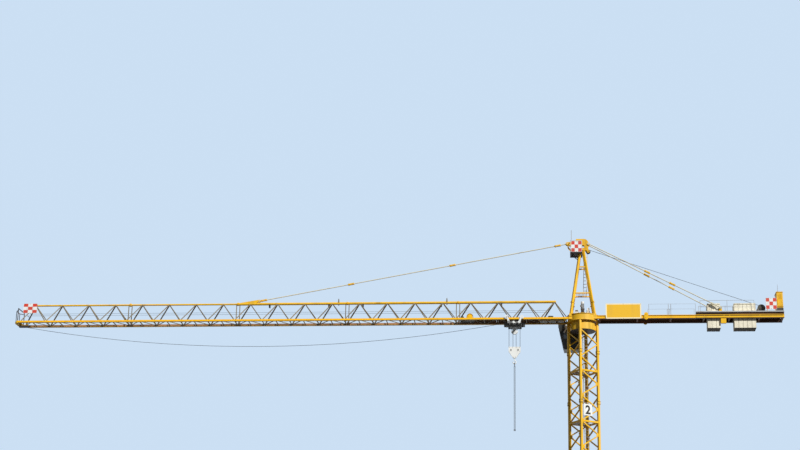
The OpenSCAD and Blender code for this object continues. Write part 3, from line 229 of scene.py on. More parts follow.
class Finish:
    """A material under construction."""

    def __init__(self, name):
        self.material = bpy.data.materials.new(name)
        self.material.use_nodes = True
        self.tree = self.material.node_tree
        self.shader = self.tree.nodes["Principled BSDF"]
        place = self.node("ShaderNodeTexCoord", {}, {}, "Object")
        self.place = place
        self.x, self.y, self.z = (
            self.node("ShaderNodeSeparateXYZ", {}, {"Vector": place}, axis) for axis in "XYZ")

    @property
    def height(self):
        """Height above the jib's chords."""
        return self.z - CHORD_Z

    def node(self, kind, settings, inputs, output=0):
        made = self.tree.nodes.new(kind)
        for key, value in settings.items():
            setattr(made, key, value)
        for key, value in inputs.items():
            self.feed(made.inputs[key], value)
        return Number(self, made.outputs[output])

    def feed(self, socket, value):
        if isinstance(value, Number):
            self.tree.links.new(value.socket, socket)
        elif socket.type == "RGBA" and len(value) == 3:
            socket.default_value = (*value, 1)
        else:
            socket.default_value = value

    def noise(self, scale, detail=4.0, stretch=(1, 1, 1), roughness=0.55):
        """Cloudy noise from 0 to 1, stretched along the axes."""
        stretched = self.node(
            "ShaderNodeMapping", {}, {"Vector": self.place, "Scale": stretch})
        return self.node(
            "ShaderNodeTexNoise", {},
            {"Vector": stretched, "Scale": scale, "Detail": detail, "Roughness": roughness})

    def mix(self, factor, first, second):
        return self.node(
            "ShaderNodeMix", {"data_type": "RGBA"}, {0: factor, 6: first, 7: second}, 2)

    def bump(self, height, distance):
        return self.node("ShaderNodeBump", {}, {"Height": height, "Distance": distance})

    def grain(self, scale, detail, distance):
        """A fine rough surface."""
        return self.bump(self.noise(scale, detail), distance)

    def grime(self):
        """Patches where dirt has gathered."""
        return self.noise(1.7, 6, roughness=0.65).smooth(0.48, 0.75)

    def runs(self):
        """Dirt that rain has drawn down."""
        return self.noise(3.0, 5, (1, 1, 0.12)).smooth(0.5, 0.78)

    def film(self):
        """A thin film of grease."""
        return self.noise(9.0, 5).smooth(0.4, 0.7)

    def stains(self):
        """Stains on bare zinc."""
        return self.noise(2.0, 5).smooth(0.45, 0.75)

    def close_coat(self, color, rough):
        """Closes a material as the girders' slightly uneven coat of paint."""
        return self.close(Base_Color=color, Roughness=rough, Specular_IOR_Level=0.25,
                          Normal=self.grain(40.0, 3, 0.002))

    def close(self, **sockets):
        """Sets the shader's sockets, whose spaces are written as underscores."""
        for key, value in sockets.items():
            self.feed(self.shader.inputs[key.replace("_", " ")], value)
        return self.material


# Colours that several finishes share
DIRT = (0.10, 0.06, 0.03)
GOLD_WEAR = (0.36, 0.21, 0.05)
ZINC_STAIN = (0.20, 0.16, 0.12)


def darker(color, share):
    return tuple(part * share for part in color)


def towards(color, other, share):
    return tuple(a + (b - a) * share for a, b in zip(color, other))


def weathered_paint(name, color, gloss=0.48, dirt=0.5, rust=0.4, shaded_below=None):
    """Paint with faded patches, dirt that runs down and rust at chips.

    Below the height shaded_below, measured from the jib's chords, it is painted near-black as
    shade.
    """
    finish = Finish(name)
    fade = finish.noise(0.6, 3).smooth(0.35, 0.7)
    runs = finish.runs()
    chips = finish.noise(14.0, 6, roughness=0.7).smooth(0.66, 0.71)
    grime = finish.grime()
    painted = finish.mix(fade * 0.4, color, towards(color, (0.75, 0.62, 0.36), 0.3))
    dirty = finish.mix(runs * dirt, painted, towards(darker(color, 0.35), DIRT, 0.5))
    dirtier = finish.mix(grime * dirt * 0.7, dirty, darker(color, 0.45))
    rusty = finish.mix(chips * rust, dirtier, (0.16, 0.055, 0.02))
    if shaded_below is not None:
        # Painted shade: below shaded_below the colour turns near-black for the shade on the drum's
        # underside.
        rusty = finish.mix(finish.height < shaded_below, rusty, (0.025, 0.014, 0.008))
    rough = gloss + 0.25 * grime + 0.3 * chips
    return finish.close(
        Base_Color=rusty, Roughness=rough, Specular_IOR_Level=0.25,
        Normal=finish.bump(finish.noise(40.0, 3) - chips * 0.6, 0.002))


def chord_paint(name, color):
    """Yellow chords with dirt patches, and brown painted shade in blotches on the faces that look
    into the jib.
    """
    finish = Finish(name)
    height = finish.height
    # Painted shade: the faces that look into the jib are painted brown in place of yellow.
    inside = (1 - finish.y.size().smooth(0.366, 0.370)) * height.smooth(-0.038, -0.034)
    blotches = finish.noise(1.8, 5, (0.5, 1, 1)).smooth(0.4, 0.65)
    painted_shade_brown = finish.mix(blotches, (0.20, 0.10, 0.05), (0.42, 0.21, 0.10))
    grime = finish.grime()
    painted = finish.mix(grime * 0.35, color, darker(color, 0.45))
    return finish.close_coat(finish.mix(inside, painted, painted_shade_brown), 0.48 + 0.25 * grime)


def tip_paint(name, color):
    """Yellow end frame with dark rails above it and dark greasy fittings below it."""
    finish = Finish(name)
    height = finish.height
    frame_part = height.smooth(-0.062, -0.058) * (1 - height.smooth(0.058, 0.062))
    grime = finish.noise(2.5, 6, roughness=0.65).smooth(0.45, 0.75)
    dark = finish.mix(grime, (0.045, 0.038, 0.035), (0.16, 0.07, 0.04))
    painted = finish.mix(grime * 0.45, color, darker(color, 0.4))
    return finish.close_coat(finish.mix(frame_part, dark, painted), 0.48 + 0.25 * grime)


def winch_paint(name, color):
    """A black hoist winch with gold wear, and the trolley winch's yellow cover and black drive."""
    finish = Finish(name)
    height = finish.height
    hoist = finish.x.smooth(0.0, 0.1)
    cover = finish.x.smooth(-5.175, -5.172) * (1 - hoist) * height.smooth(0.085, 0.09)
    gold = finish.noise(17.0, 5).smooth(0.55, 0.70) * hoist
    worn = finish.mix(gold, (0.030, 0.026, 0.023), GOLD_WEAR)
    film = finish.film()
    return finish.close(
        Base_Color=finish.mix(cover, worn, color), Roughness=0.42 + 0.3 * film,
        Specular_IOR_Level=0.25, Normal=finish.grain(60.0, 3, 0.001))


def girder_paint(name, color):
    """Yellow webs that face outward, with dirt that runs down, and reddish-brown painted shade in
    blotches on the other faces.
    """
    finish = Finish(name)
    height = finish.height
    outside = finish.y.size().smooth(0.404, 0.410) * height.smooth(-0.030, -0.022)
    box = height < -0.045
    # Painted shade: all but the outward faces and the box below are painted reddish-brown.
    unshaded_faces = (outside + finish.y.size().smooth(0.452, 0.454) + box).smooth(0.0, 1.0)
    blotches = finish.noise(2.2, 5, (0.5, 1, 1)).smooth(0.45, 0.65)
    painted_shade_brown = finish.mix(blotches, (0.065, 0.028, 0.015), (0.24, 0.085, 0.038))
    runs = finish.runs()
    painted = finish.mix(runs * 0.35, color, towards(darker(color, 0.35), DIRT, 0.5))
    return finish.close_coat(finish.mix(unshaded_faces, painted_shade_brown, painted), 0.5 + 0.2 * blotches)


def bare_metal(name, color):
    """Zinc-coated steel with crystal patches and stains."""
    finish = Finish(name)
    spangle = finish.node(
        "ShaderNodeTexVoronoi", {}, {"Vector": finish.place, "Scale": 30.0}, "Distance")
    stain = finish.stains()
    base = finish.mix(spangle * 0.4, color, darker(color, 0.7))
    return finish.close(
        Base_Color=finish.mix(stain * 0.6, base, ZINC_STAIN),
        Roughness=0.55 + 0.3 * stain, Metallic=0.15, Specular_IOR_Level=0.2,
        Normal=finish.grain(60.0, 2, 0.001))


def platform_paint(name, color, ladder):
    """Zinc-coated rails over a floor painted near-black as shade, and a paler ladder."""
    finish = Finish(name)
    front = 1 - finish.x.smooth(0.030, 0.034)
    # Painted shade: the platform's floor below this height is painted near-black.
    floor = front * (1 - finish.height.smooth(3.086, 3.089))
    stain = finish.stains()
    zinc = finish.mix(front, ladder, color)
    worn = finish.mix(stain * 0.5, zinc, ZINC_STAIN)
    return finish.close(
        Base_Color=finish.mix(floor, worn, (0.022, 0.018, 0.015)), Roughness=0.55 + 0.3 * stain,
        Specular_IOR_Level=0.2, Normal=finish.grain(60.0, 2, 0.001))


def greased_steel(name):
    """Dark steel under old grease."""
    finish = Finish(name)
    film = finish.film()
    return finish.close(
        Base_Color=finish.mix(film, (0.03, 0.028, 0.026), (0.10, 0.07, 0.045)),
        Roughness=0.35 + 0.4 * film, Metallic=0.6, Normal=finish.grain(80.0, 3, 0.001))


def wire_rope(name):
    """Greased wire rope whose strands run slantwise round it."""
    finish = Finish(name)
    strands_per_metre = 45.0
    lay = ((finish.x + finish.y + finish.z) * strands_per_metre).fraction()
    groove = lay.smooth(0.0, 0.25) * (1 - lay.smooth(0.75, 1.0))
    film = finish.noise(12.0, 4)
    return finish.close(
        Base_Color=finish.mix(groove, (0.012, 0.012, 0.012), (0.085, 0.085, 0.08)),
        Roughness=0.4 + 0.3 * film, Metallic=0.55, Normal=finish.bump(groove, 0.003))


def motor_paint(name):
    """Drives with dark greasy gear cases, grey motors, pale covers and pale switch boxes."""
    finish = Finish(name)
    height = finish.height
    far = finish.y.smooth(-0.05, -0.04)
    box = finish.x.size().smooth(0.14, 0.15) * (1 - far)
    cover = (1 - far) * height.smooth(0.690, 0.692) + far * height.smooth(0.465, 0.467)
    case = (1 - height.smooth(0.462, 0.464)) * (1 - far) + (1 - height.smooth(0.340, 0.342)) * far
    gold = finish.noise(26.0, 5).smooth(0.52, 0.68)
    greasy = finish.mix(gold, (0.028, 0.025, 0.022), GOLD_WEAR)
    body = finish.mix(case, (0.26, 0.27, 0.27), greasy)
    grime = finish.noise(6.0, 5).smooth(0.5, 0.8)
    painted = finish.mix((box + cover).smooth(0.0, 1.0), body, (0.72, 0.72, 0.68))
    return finish.close(
        Base_Color=finish.mix(grime * 0.5, painted, (0.09, 0.07, 0.05)),
        Roughness=0.45 + 0.25 * grime, Specular_IOR_Level=0.3,
        Normal=finish.grain(50.0, 3, 0.001))


def trolley_paint(name, white, dark):
    """White arms and middle cheeks, with a dark greasy body between them."""
    finish = Finish(name)
    side = finish.y.size()
    height = finish.height
    arms = side.smooth(0.47, 0.49) * height.smooth(-0.16, -0.13)
    cheeks = (1 - side.smooth(0.10, 0.12)) * (1 - height.smooth(-0.29, -0.27))
    grease = finish.noise(7.0, 5).smooth(0.45, 0.7)
    flecks = finish.noise(9.0, 2).smooth(0.56, 0.60)
    paint = finish.mix((arms + cheeks + flecks).smooth(0.0, 1.0), dark, white)
    return finish.close(
        Base_Color=finish.mix(grease * 0.5, paint, (0.07, 0.055, 0.04)),
        Roughness=0.35 + 0.3 * grease, Normal=finish.grain(50.0, 3, 0.001))


def painted_concrete(name, color):
    """Cast slabs with water stains that run down, patches of bare concrete and undersides painted
    dark as shade.
    """
    finish = Finish(name)
    runs = finish.noise(5.0, 5, (1, 1, 0.08)).smooth(0.48, 0.7)
    patch = finish.noise(1.6, 6, roughness=0.7).smooth(0.5, 0.66)
    pits = finish.noise(45.0, 4).smooth(0.62, 0.7)
    upper = finish.height.smooth(0.0, 0.5)
    worn = finish.mix(patch * 0.25, color, (0.48, 0.43, 0.34))
    # Painted shade: the slabs' undersides are painted near-black.
    under = 1 - finish.height.smooth(-0.457, -0.453)
    weathered = finish.mix(runs * (0.2 + 0.4 * upper), worn, (0.26, 0.18, 0.10))
    with_painted_shade = finish.mix(under, weathered, (0.055, 0.048, 0.040))
    return finish.close(
        Base_Color=finish.mix(pits * 0.25, with_painted_shade, (0.20, 0.18, 0.15)),
        Roughness=0.82 + 0.1 * patch, Normal=finish.bump(finish.noise(30.0, 5) - pits, 0.006))


def tinted_glass(name):
    """Dark tinted glass with dust on it."""
    finish = Finish(name)
    dust = finish.noise(6.0, 5).smooth(0.45, 0.8)
    return finish.close(
        Base_Color=finish.mix(dust * 0.35, (0.012, 0.018, 0.022), (0.10, 0.10, 0.09)),
        Roughness=0.08 + 0.35 * dust, Specular_IOR_Level=0.7)


def board_yellow(name, color):
    """Sheet board with a flat yellow face and faint streaks."""
    finish = Finish(name)
    streak = finish.noise(4.0, 4, (1, 1, 0.1)).smooth(0.45, 0.8)
    return finish.close(
        Base_Color=finish.mix(streak * 0.3, color, darker(color, 0.6)),
        Roughness=0.42 + 0.2 * streak, Normal=finish.grain(20.0, 2, 0.001))


def shaded_planks(name):
    """Very dark planks with grain along the crane; seen from below, their darkness is painted
    shade.
    """
    finish = Finish(name)
    grain = finish.noise(12.0, 6, (0.08, 1, 1)).smooth(0.3, 0.7)
    return finish.close(
        Base_Color=finish.mix(grain, (0.030, 0.014, 0.007), (0.135, 0.062, 0.030)),
        Roughness=0.75 + 0.15 * grain, Specular_IOR_Level=0.1,
        Normal=finish.bump(grain, 0.002))


def red_and_white(name, red, white, corner, pitch):
    """A chequered board. corner is its low corner in X and Z, where red starts."""
    finish = Finish(name)
    column = ((finish.x - corner[0]) / pitch[0]).floor()
    row = ((finish.z - corner[1]) / pitch[1]).floor()
    odd = (column + row).modulo(2.0)
    dirt = finish.noise(5.0, 5).smooth(0.45, 0.75)
    paint = finish.mix(odd, red, white)
    return finish.close(
        Base_Color=finish.mix(dirt * 0.35, paint, (0.16, 0.11, 0.08)),
        Roughness=0.4 + 0.25 * dirt, Normal=finish.grain(25.0, 2, 0.001))


MATERIALS = {}
# Squares along each side of a chequered board
SQUARES = 3


def make_materials():
    paint = bpy.context.scene.crane_paint
    yellow, white = tuple(paint.yellow), tuple(paint.white)
    zinc = (0.40, 0.40, 0.40)
    MATERIALS.update(
        yellow_paint=weathered_paint("yellow_paint", yellow),
        galvanised=bare_metal("galvanised", zinc),
        platform_paint=platform_paint("platform_paint", zinc, (0.66, 0.60, 0.47)),
        grey_paint=weathered_paint("grey_paint", tuple(paint.grey), dirt=0.6),
        board_paint=weathered_paint("board_paint", white, dirt=0.25, rust=0.1),
        white_paint=weathered_paint("white_paint", white, dirt=0.3, rust=0.25),
        glass=tinted_glass("glass"),
        dark_steel=greased_steel("dark_steel"),
        wire_rope=wire_rope("wire_rope"),
        concrete=painted_concrete("concrete", tuple(paint.concrete)),
        cab_paint=weathered_paint("cab_paint", tuple(paint.cab), gloss=0.3, dirt=0.3, rust=0.1),
        sign_yellow=board_yellow("sign_yellow", yellow),
        sign_border=board_yellow("sign_border", (0.92, 0.80, 0.50)),
        chord_paint=chord_paint("chord_paint", yellow),
        tip_paint=tip_paint("tip_paint", yellow),
        winch_paint=winch_paint("winch_paint", yellow),
        girder_paint=girder_paint("girder_paint", yellow),
        # The drum's underside gets painted shade through shaded_below.
        drum_paint=weathered_paint("drum_paint", yellow, shaded_below=-0.504),
        motor_paint=motor_paint("motor_paint"),
        dark_boards=shaded_planks("dark_boards"),
        # Painted shade: the jib's lacing, floor bars and lugs are yellow steel painted dark brown
        # as if shaded.
        lacing_paint=weathered_paint("lacing_paint", (0.17, 0.135, 0.085), dirt=0.4),
        tie_paint=weathered_paint("tie_paint", (0.66, 0.61, 0.44), dirt=0.35, rust=0.2),
        trolley_paint=trolley_paint("trolley_paint", white, (0.09, 0.085, 0.075)),
        number_black=weathered_paint("number_black", (0.012, 0.012, 0.012), dirt=0.1, rust=0.0),
    )
    for key in CHEQUERED:
        low, high = BOARDS[key]
        MATERIALS[f"checks_{key}"] = red_and_white(
            f"checks_{key}", tuple(paint.red), white, (low[0], CHORD_Z + low[2]),
            [(high[axis] - low[axis]) / SQUARES for axis in (0, 2)])


# Modelling

UPPER = "slewing_part"
SIDES = (-1, 1)


def at(x, y, z):
    """A point whose height is measured from the jib's chords."""
    return Vector((x, y, CHORD_Z + z))


def deselect():
    bpy.ops.object.select_all(action="DESELECT")


def make_active(piece):
    deselect()
    piece.select_set(True)
    bpy.context.view_layer.objects.active = piece


def settle(piece):
    """Puts a piece's place into its mesh."""
    make_active(piece)
    bpy.ops.object.transform_apply(location=True, rotation=True, scale=True)


def give(piece, material):
    piece.data.materials.clear()
    piece.data.materials.append(MATERIALS[material])


def bevel(piece, width, segments=2):
    make_active(piece)
    modifier = piece.modifiers.new("bevel", "BEVEL")
    modifier.width = width
    modifier.segments = segments
    modifier.limit_method = "ANGLE"
    bpy.ops.object.modifier_apply(modifier=modifier.name)


def smooth_edges(piece, degrees):
    make_active(piece)
    bpy.ops.object.shade_smooth_by_angle(angle=math.radians(degrees))


def new_box(low, high, rounding=0.0):
    """A box between two corners, with its edges bevelled."""
    low, high = Vector(low), Vector(high)
    deselect()
    bpy.ops.mesh.primitive_cube_add(size=1, location=(low + high) / 2)
    piece = bpy.context.object
    piece.scale = high - low
    settle(piece)
    if rounding:
        bevel(piece, rounding)
    return piece


def new_rod(start, end, diameter, sides=12):
    """A round bar between two points."""
    start, end = Vector(start), Vector(end)
    along = end - start
    deselect()
    bpy.ops.mesh.primitive_cylinder_add(
        vertices=sides, radius=diameter / 2, depth=along.length, location=(start + end) / 2)
    piece = bpy.context.object
    piece.rotation_mode = "QUATERNION"
    piece.rotation_quaternion = along.to_track_quat("Z", "Y")
    settle(piece)
    smooth_edges(piece, 40)
    return piece


def tube(points, diameter, bevel_resolution=2):
    """A closed round tube along points."""
    curve = bpy.data.curves.new("tube", "CURVE")
    curve.dimensions = "3D"
    curve.bevel_depth = diameter / 2
    curve.bevel_resolution = bevel_resolution
    curve.use_fill_caps = True
    spline = curve.splines.new("POLY")
    spline.points.add(len(points) - 1)
    for knot, point in zip(spline.points, points):
        knot.co = (*point, 1)
    piece = bpy.data.objects.new("tube", curve)
    bpy.context.scene.collection.objects.link(piece)
    make_active(piece)
    bpy.ops.object.convert(target="MESH")
    piece = bpy.context.object
    smooth_edges(piece, 50)
    return piece


def joined(pieces, name):
    """Several meshes as one piece."""
    deselect()
    for piece in pieces:
        piece.select_set(True)
    bpy.context.view_layer.objects.active = pieces[0]
    if len(pieces) > 1:
        bpy.ops.object.join()
    made = bpy.context.object
    made.name = made.data.name = name
    return made


def dress(pieces, name, material, body=UPPER):
    """Joins meshes under one name, paints them and lets them ride on a body, if one is given."""
    piece = joined(pieces, name)
    give(piece, material)
    if body:
        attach(piece, body)
    return piece


def on_faces(piece, choose, *steps):
    """Selects the faces that choose accepts and runs edit-mode steps on them."""
    make_active(piece)
    bpy.ops.object.mode_set(mode="EDIT")
    bpy.context.tool_settings.mesh_select_mode = (False, False, True)
    bpy.ops.mesh.select_all(action="DESELECT")
    bpy.ops.object.mode_set(mode="OBJECT")
    for face in piece.data.polygons:
        face.select = choose(face)
    bpy.ops.object.mode_set(mode="EDIT")
    for step in steps:
        step()
    bpy.ops.object.mode_set(mode="OBJECT")


def inset(thickness, depth=0.0):
    return lambda: bpy.ops.mesh.inset(thickness=thickness, depth=depth)


def resize(*value):
    return lambda: bpy.ops.transform.resize(value=value)


def towards_axis(axis, sign):
    """Accepts faces that look along one axis."""
    return lambda face: face.normal["xyz".index(axis)] * sign > 0.9


def either_end(face):
    """Accepts faces that look to the crane's two sides."""
    return abs(face.normal.y) > 0.9


def copied(piece, placement):
    """Another copy of a piece with its own mesh, moved by a matrix."""
    twin = piece.copy()
    twin.data = piece.data.copy()
    twin.data.transform(placement)
    bpy.context.scene.collection.objects.link(twin)
    return twin


def moved(*place):
    """The placement of a piece that keeps its directions."""
    return Matrix.Translation(place)


def facing(point, normal):
    """The placement of a piece that is modelled round the origin, with its Z along normal."""
    turn = Vector(normal).to_track_quat("Z", "Y").to_matrix().to_4x4()
    return Matrix.Translation(point) @ turn


def turned(angle, axis="Z"):
    return Matrix.Rotation(angle, 4, axis)


def spread(original, name, material, placements, body=UPPER):
    """Puts a piece that is modelled round the origin at each placement."""
    pieces = [copied(original, placement) for placement in placements]
    bpy.data.objects.remove(original)
    return dress(pieces, name, material, body)


def bolt_head(width):
    """A hexagon head on its washer, round the origin and standing along Z."""
    shapes = []
    for sides, radius, depth, height in ((12, 0.62, 0.14, 0.07), (6, 0.5, 0.5, 0.38)):
        deselect()
        bpy.ops.mesh.primitive_cylinder_add(
            vertices=sides, radius=width * radius, depth=width * depth)
        shape = bpy.context.object
        shape.location.z = width * height
        settle(shape)
        shapes.append(shape)
    on_faces(shapes[1], towards_axis("z", 1), inset(width * 0.07, width * 0.05))
    return joined(shapes, "bolt")


def round_axis(count, radius, start=0.0, centre=(0.0, 0.0)):
    """Points on a circle round a vertical axis."""
    for k in range(count):
        angle = start + 2 * math.pi * k / count
        yield centre[0] + radius * math.cos(angle), centre[1] + radius * math.sin(angle)


def spaced(count, pitch):
    """Places in a row that is centred on zero."""
    return [(k - (count - 1) / 2) * pitch for k in range(count)]


def ring_of(count, radius, z, up=1, start=0.0):
    """Placements round the tower axis that look up or down."""
    return [facing(at(x, y, z), (0, 0, up)) for x, y in round_axis(count, radius, start)]


# Ropes

# The sagging rope's points, along X and up from the chords
RUN_ROUTE = [
    (-25.330, -0.164), (-24.300, -0.336), (-23.200, -0.501), (-22.100, -0.647),
    (-21.000, -0.772), (-19.900, -0.878), (-18.800, -0.964), (-17.700, -1.030),
    (-16.600, -1.077), (-15.500, -1.103), (-14.400, -1.110), (-13.300, -1.097),
    (-12.200, -1.064), (-11.100, -1.012), (-10.000, -0.940), (-8.900, -0.847),
    (-7.800, -0.735), (-6.700, -0.604), (-5.600, -0.452), (-4.500, -0.281),
    (-3.900, -0.179), (-3.522, -0.111)]
# Where the rope meets the sheave on the trolley
LEAD_END = (-3.382, -0.086)
SLING_STEPS = 15


class CRANE_OT_run_rope(bpy.types.Operator):
    """The hoist rope that sags from the jib tip to the trolley"""

    bl_idname = "crane.run_rope"
    bl_label = "Sagging rope"

    def execute(self, context):
        size = context.scene.crane_sizes.rope
        route = [(x, 0.0, CHORD_Z + z) for x, z in RUN_ROUTE]
        rope = dress([tube(route, size)], "run_rope", "wire_rope")
        travel = next(j for j in frame["joints"] if j["name"] == "trolley_travel")["range_m"][1]
        span = route[-1][0] - route[0][0]
        (span - travel) / span
        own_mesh(rope)
        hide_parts("jib_run_rope")
        # The last bit rides on the trolley, so that the rope stays off the sheave's side
        lead = tube([route[-1], at(LEAD_END[0], 0.0, LEAD_END[1])], size)
        dress([lead], "rope_lead", "wire_rope", "trolley")
        return {"FINISHED"}


class CRANE_OT_sling(bpy.types.Operator):
    """The two sling legs under the hook"""

    bl_idname = "crane.sling"
    bl_label = "Sling"

    def execute(self, context):
        low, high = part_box("sling_legs")
        width = high.y - low.y
        for side, x in (("left", low.x + width / 2), ("right", high.x - width / 2)):
            route = [(x, 0.0, high.z - (high.z - low.z) * k / SLING_STEPS)
                     for k in range(SLING_STEPS + 1)]
            leg = dress(
                [tube(route, width)], f"sling_{side}", "wire_rope", "hook")
            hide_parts("sling_legs")
        return {"FINISHED"}


class CRANE_OT_hoist_falls(bpy.types.Operator):
    """The four rope falls between trolley and hook block"""

    bl_idname = "crane.hoist_falls"
    bl_label = "Hoist falls"

    def execute(self, context):
        size = context.scene.crane_sizes.rope
        low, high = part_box("hoist_falls")
        outer = (high.x - low.x - size) / 2
        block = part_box("block_sheaves")
        inner = outer - (block[1].z - block[0].z - size)
        middle_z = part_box("trolley_wheels")[0].z + inner + size / 2
        for name, offset, top in (
                ("outer_left", -outer, high.z), ("inner_left", -inner, middle_z),
                ("inner_right", inner, middle_z), ("outer_right", outer, high.z)):
            x = TROLLEY_X + offset
            fall = dress([tube([(x, 0.0, top), (x, 0.0, low.z)], size)], f"fall_{name}",
                         "wire_rope", None)
            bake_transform(fall)
            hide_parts("hoist_falls")
        return {"FINISHED"}


# Boards

# Low and high corner of each board's face
BOARDS = {
    "large": ((1.010, -0.457, -0.045), (2.565, -0.457, 0.645)),
    "rear": ((7.965, -0.502, 0.327), (8.435, -0.502, 0.837)),
    "head": ((-0.471, -0.362, 3.085), (-0.001, -0.362, 3.595)),
    "tip": ((-25.490, -0.252, 0.450), (-24.850, -0.252, 0.905)),
}
CHEQUERED = ("rear", "head", "tip")
# Thickness of a board's sheet
SKIN = 0.004
# The plate on the tower: its right edge and outer face along the tower's side, its top, and its
# width and height
PLATE_RIGHT = TOWER_HALF - 0.05 - 0.06
PLATE_Y = TOWER_HALF + 0.025 + 0.012
PLATE_TOP = -3.875
PLATE_SIZE = (0.44, 0.50)


def board_face(name, corners, border, panel, frame_material):
    """A sheet on a board's face, sunk inside its border, with its edges folded."""
    low, high = corners
    sheet = new_box(at(low[0], low[1] - SKIN, low[2]), at(high[0], low[1] - 0.0005, high[2]))
    on_faces(sheet, towards_axis("y", -1), inset(border, -SKIN * 0.4))
    sheet.data.materials.append(MATERIALS[frame_material])
    sheet.data.materials.append(MATERIALS[panel])
    for face in sheet.data.polygons:
        inner = low[0] + border * 0.9 < face.center.x < high[0] - border * 0.9
        flat = face.normal.y < -0.9
        big = face.area > 0.5 * (high[0] - low[0]) * (high[2] - low[2])
        face.material_index = 1 if inner and flat and big else 0
    sheet.name = sheet.data.name = name
    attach(sheet, UPPER)


class CRANE_OT_boards(bpy.types.Operator):
    """The bordered sign, the chequered boards and the plate on the tower"""

    bl_idname = "crane.boards"
    bl_label = "Boards"

    def execute(self, context):
        border = context.scene.crane_sizes.border
        board_face("large_sign", BOARDS["large"], border, "sign_yellow", "sign_border")
        for key in CHEQUERED:
            board_face(f"checks_{key}", BOARDS[key], 0.008, f"checks_{key}", "white_paint")
        self.number_face(border)
        self.sign_bolts()
        self.sign_frame()
        return {"FINISHED"}

    def number_face(self, border):
        """The plate on the tower and its figure, modelled along the tower's own side."""
        width, height = PLATE_SIZE
        onto_side = turned(TOWER_TURN + math.pi)
        plate = new_box(at(PLATE_RIGHT - width, PLATE_Y + 0.0005, PLATE_TOP - height),
                        at(PLATE_RIGHT, PLATE_Y + SKIN, PLATE_TOP))
        on_faces(plate, towards_axis("y", 1), inset(border * 0.3, -SKIN * 0.4))
        plate.data.transform(onto_side)
        dress([plate], "plate_face", "board_paint", "tower")
        deselect()
        bpy.ops.object.text_add()
        text = bpy.context.object.data
        text.body = "2"
        text.size = PLATE_SIZE[1] * 1.04
        text.offset = 0.018
        text.extrude = 0.001
        text.align_x = text.align_y = "CENTER"
        bpy.ops.object.convert(target="MESH")
        figure = bpy.context.object
        low, high = (Vector(corner) for corner in (figure.bound_box[0], figure.bound_box[6]))
        centre = at(PLATE_RIGHT - width / 2, PLATE_Y + SKIN + 0.0002, PLATE_TOP - height / 2)
        figure.data.transform(
            onto_side @ moved(*centre) @ turned(math.pi) @ turned(math.radians(90), "X")
            @ moved(*(-(low + high) / 2)))
        dress([figure], "plate_figure", "number_black", "tower")

    def sign_bolts(self):
        """Six bolts on each board."""
        spots = []
        for low, high in BOARDS.values():
            for x in (low[0] + 0.022, (low[0] + high[0]) / 2, high[0] - 0.022):
                for z in (low[2] + 0.022, high[2] - 0.022):
                    spots.append(facing(at(x, low[1] - SKIN, z), (0, -1, 0)))
        spread(bolt_head(0.018), "board_bolts", "galvanised", spots)

    def sign_frame(self):
        """Angle irons behind the large sign."""
        low, high = BOARDS["large"]
        back, left, right = low[1] + 0.012, low[0] + 0.02, high[0] - 0.02
        bars = [new_box(at(left, back, z - 0.02), at(right, back + 0.006, z + 0.02), 0.002)
                for z in (0.17, 0.42, 0.60)]
        bars += [new_box(at(x - 0.018, back, 0.12), at(x + 0.018, back + 0.020, 0.64), 0.003)
                 for x in (1.05, 1.55, 2.05, 2.52)]
        dress(bars, "sign_frame", "galvanised")


# Ties

# Start and end of each tie, with the shares of its length where a fork joint sits
TIES = [((-0.655, 0.0, LEG_HEAD + 0.338), (-14.585, 0.0, JIB_TOP + 0.135),
         (0.03, 0.37, 0.7, 0.985))]
TIES += [((0.310, side * 0.116, LEG_HEAD + 0.305), (6.010, side * 0.442, 0.440), (0.45, 0.64))
         for side in SIDES]


class CRANE_OT_tie_joints(bpy.types.Operator):
    """Yellow fork joints with pins along the front tie and the rear ties"""

    bl_idname = "crane.tie_joints"
    bl_label = "Tie joints"

    def execute(self, context):
        plate = new_box((-0.045, -0.005, -0.125), (0.045, 0.005, 0.125))
        for end in SIDES:
            on_faces(plate, towards_axis("z", -end), resize(0.7, 1, 1))
        bevel(plate, 0.003)
        cheeks = [copied(plate, moved(0, side * 0.049, 0)) for side in SIDES]
        bpy.data.objects.remove(plate)
        pins = [new_rod((0, -0.062, z), (0, 0.062, z), 0.040, 16) for z in (-0.075, 0.075)]
        bands = [new_box((-0.040, -0.053, z - 0.025), (0.040, 0.053, z + 0.025), 0.006)
                 for z in (-0.11, 0.11)]
        spots = []
        for start, end, shares in TIES:
            start, end = at(*start), at(*end)
            along = (end - start).normalized()
            across = (Vector((0, 1, 0)) - along * along.y).normalized()
            turn = Matrix((across.cross(along), across, along)).transposed().to_4x4()
            spots += [moved(*start.lerp(end, share)) @ turn for share in shares]
        spread(joined([*cheeks, *pins, *bands], "fork"), "tie_forks", "yellow_paint", spots)
        return {"FINISHED"}


# Fasteners

def corner_angle(i):
    """The direction of a tower leg and of the foot under it."""
    return TOWER_TURN + math.radians(45 + 90 * i)


def tower_leg(i):
    """The centre line of a tower leg."""
    angle = corner_angle(i)
    radius = TOWER_HALF * math.sqrt(2)
    return Vector((radius * math.cos(angle), radius * math.sin(angle), 0))


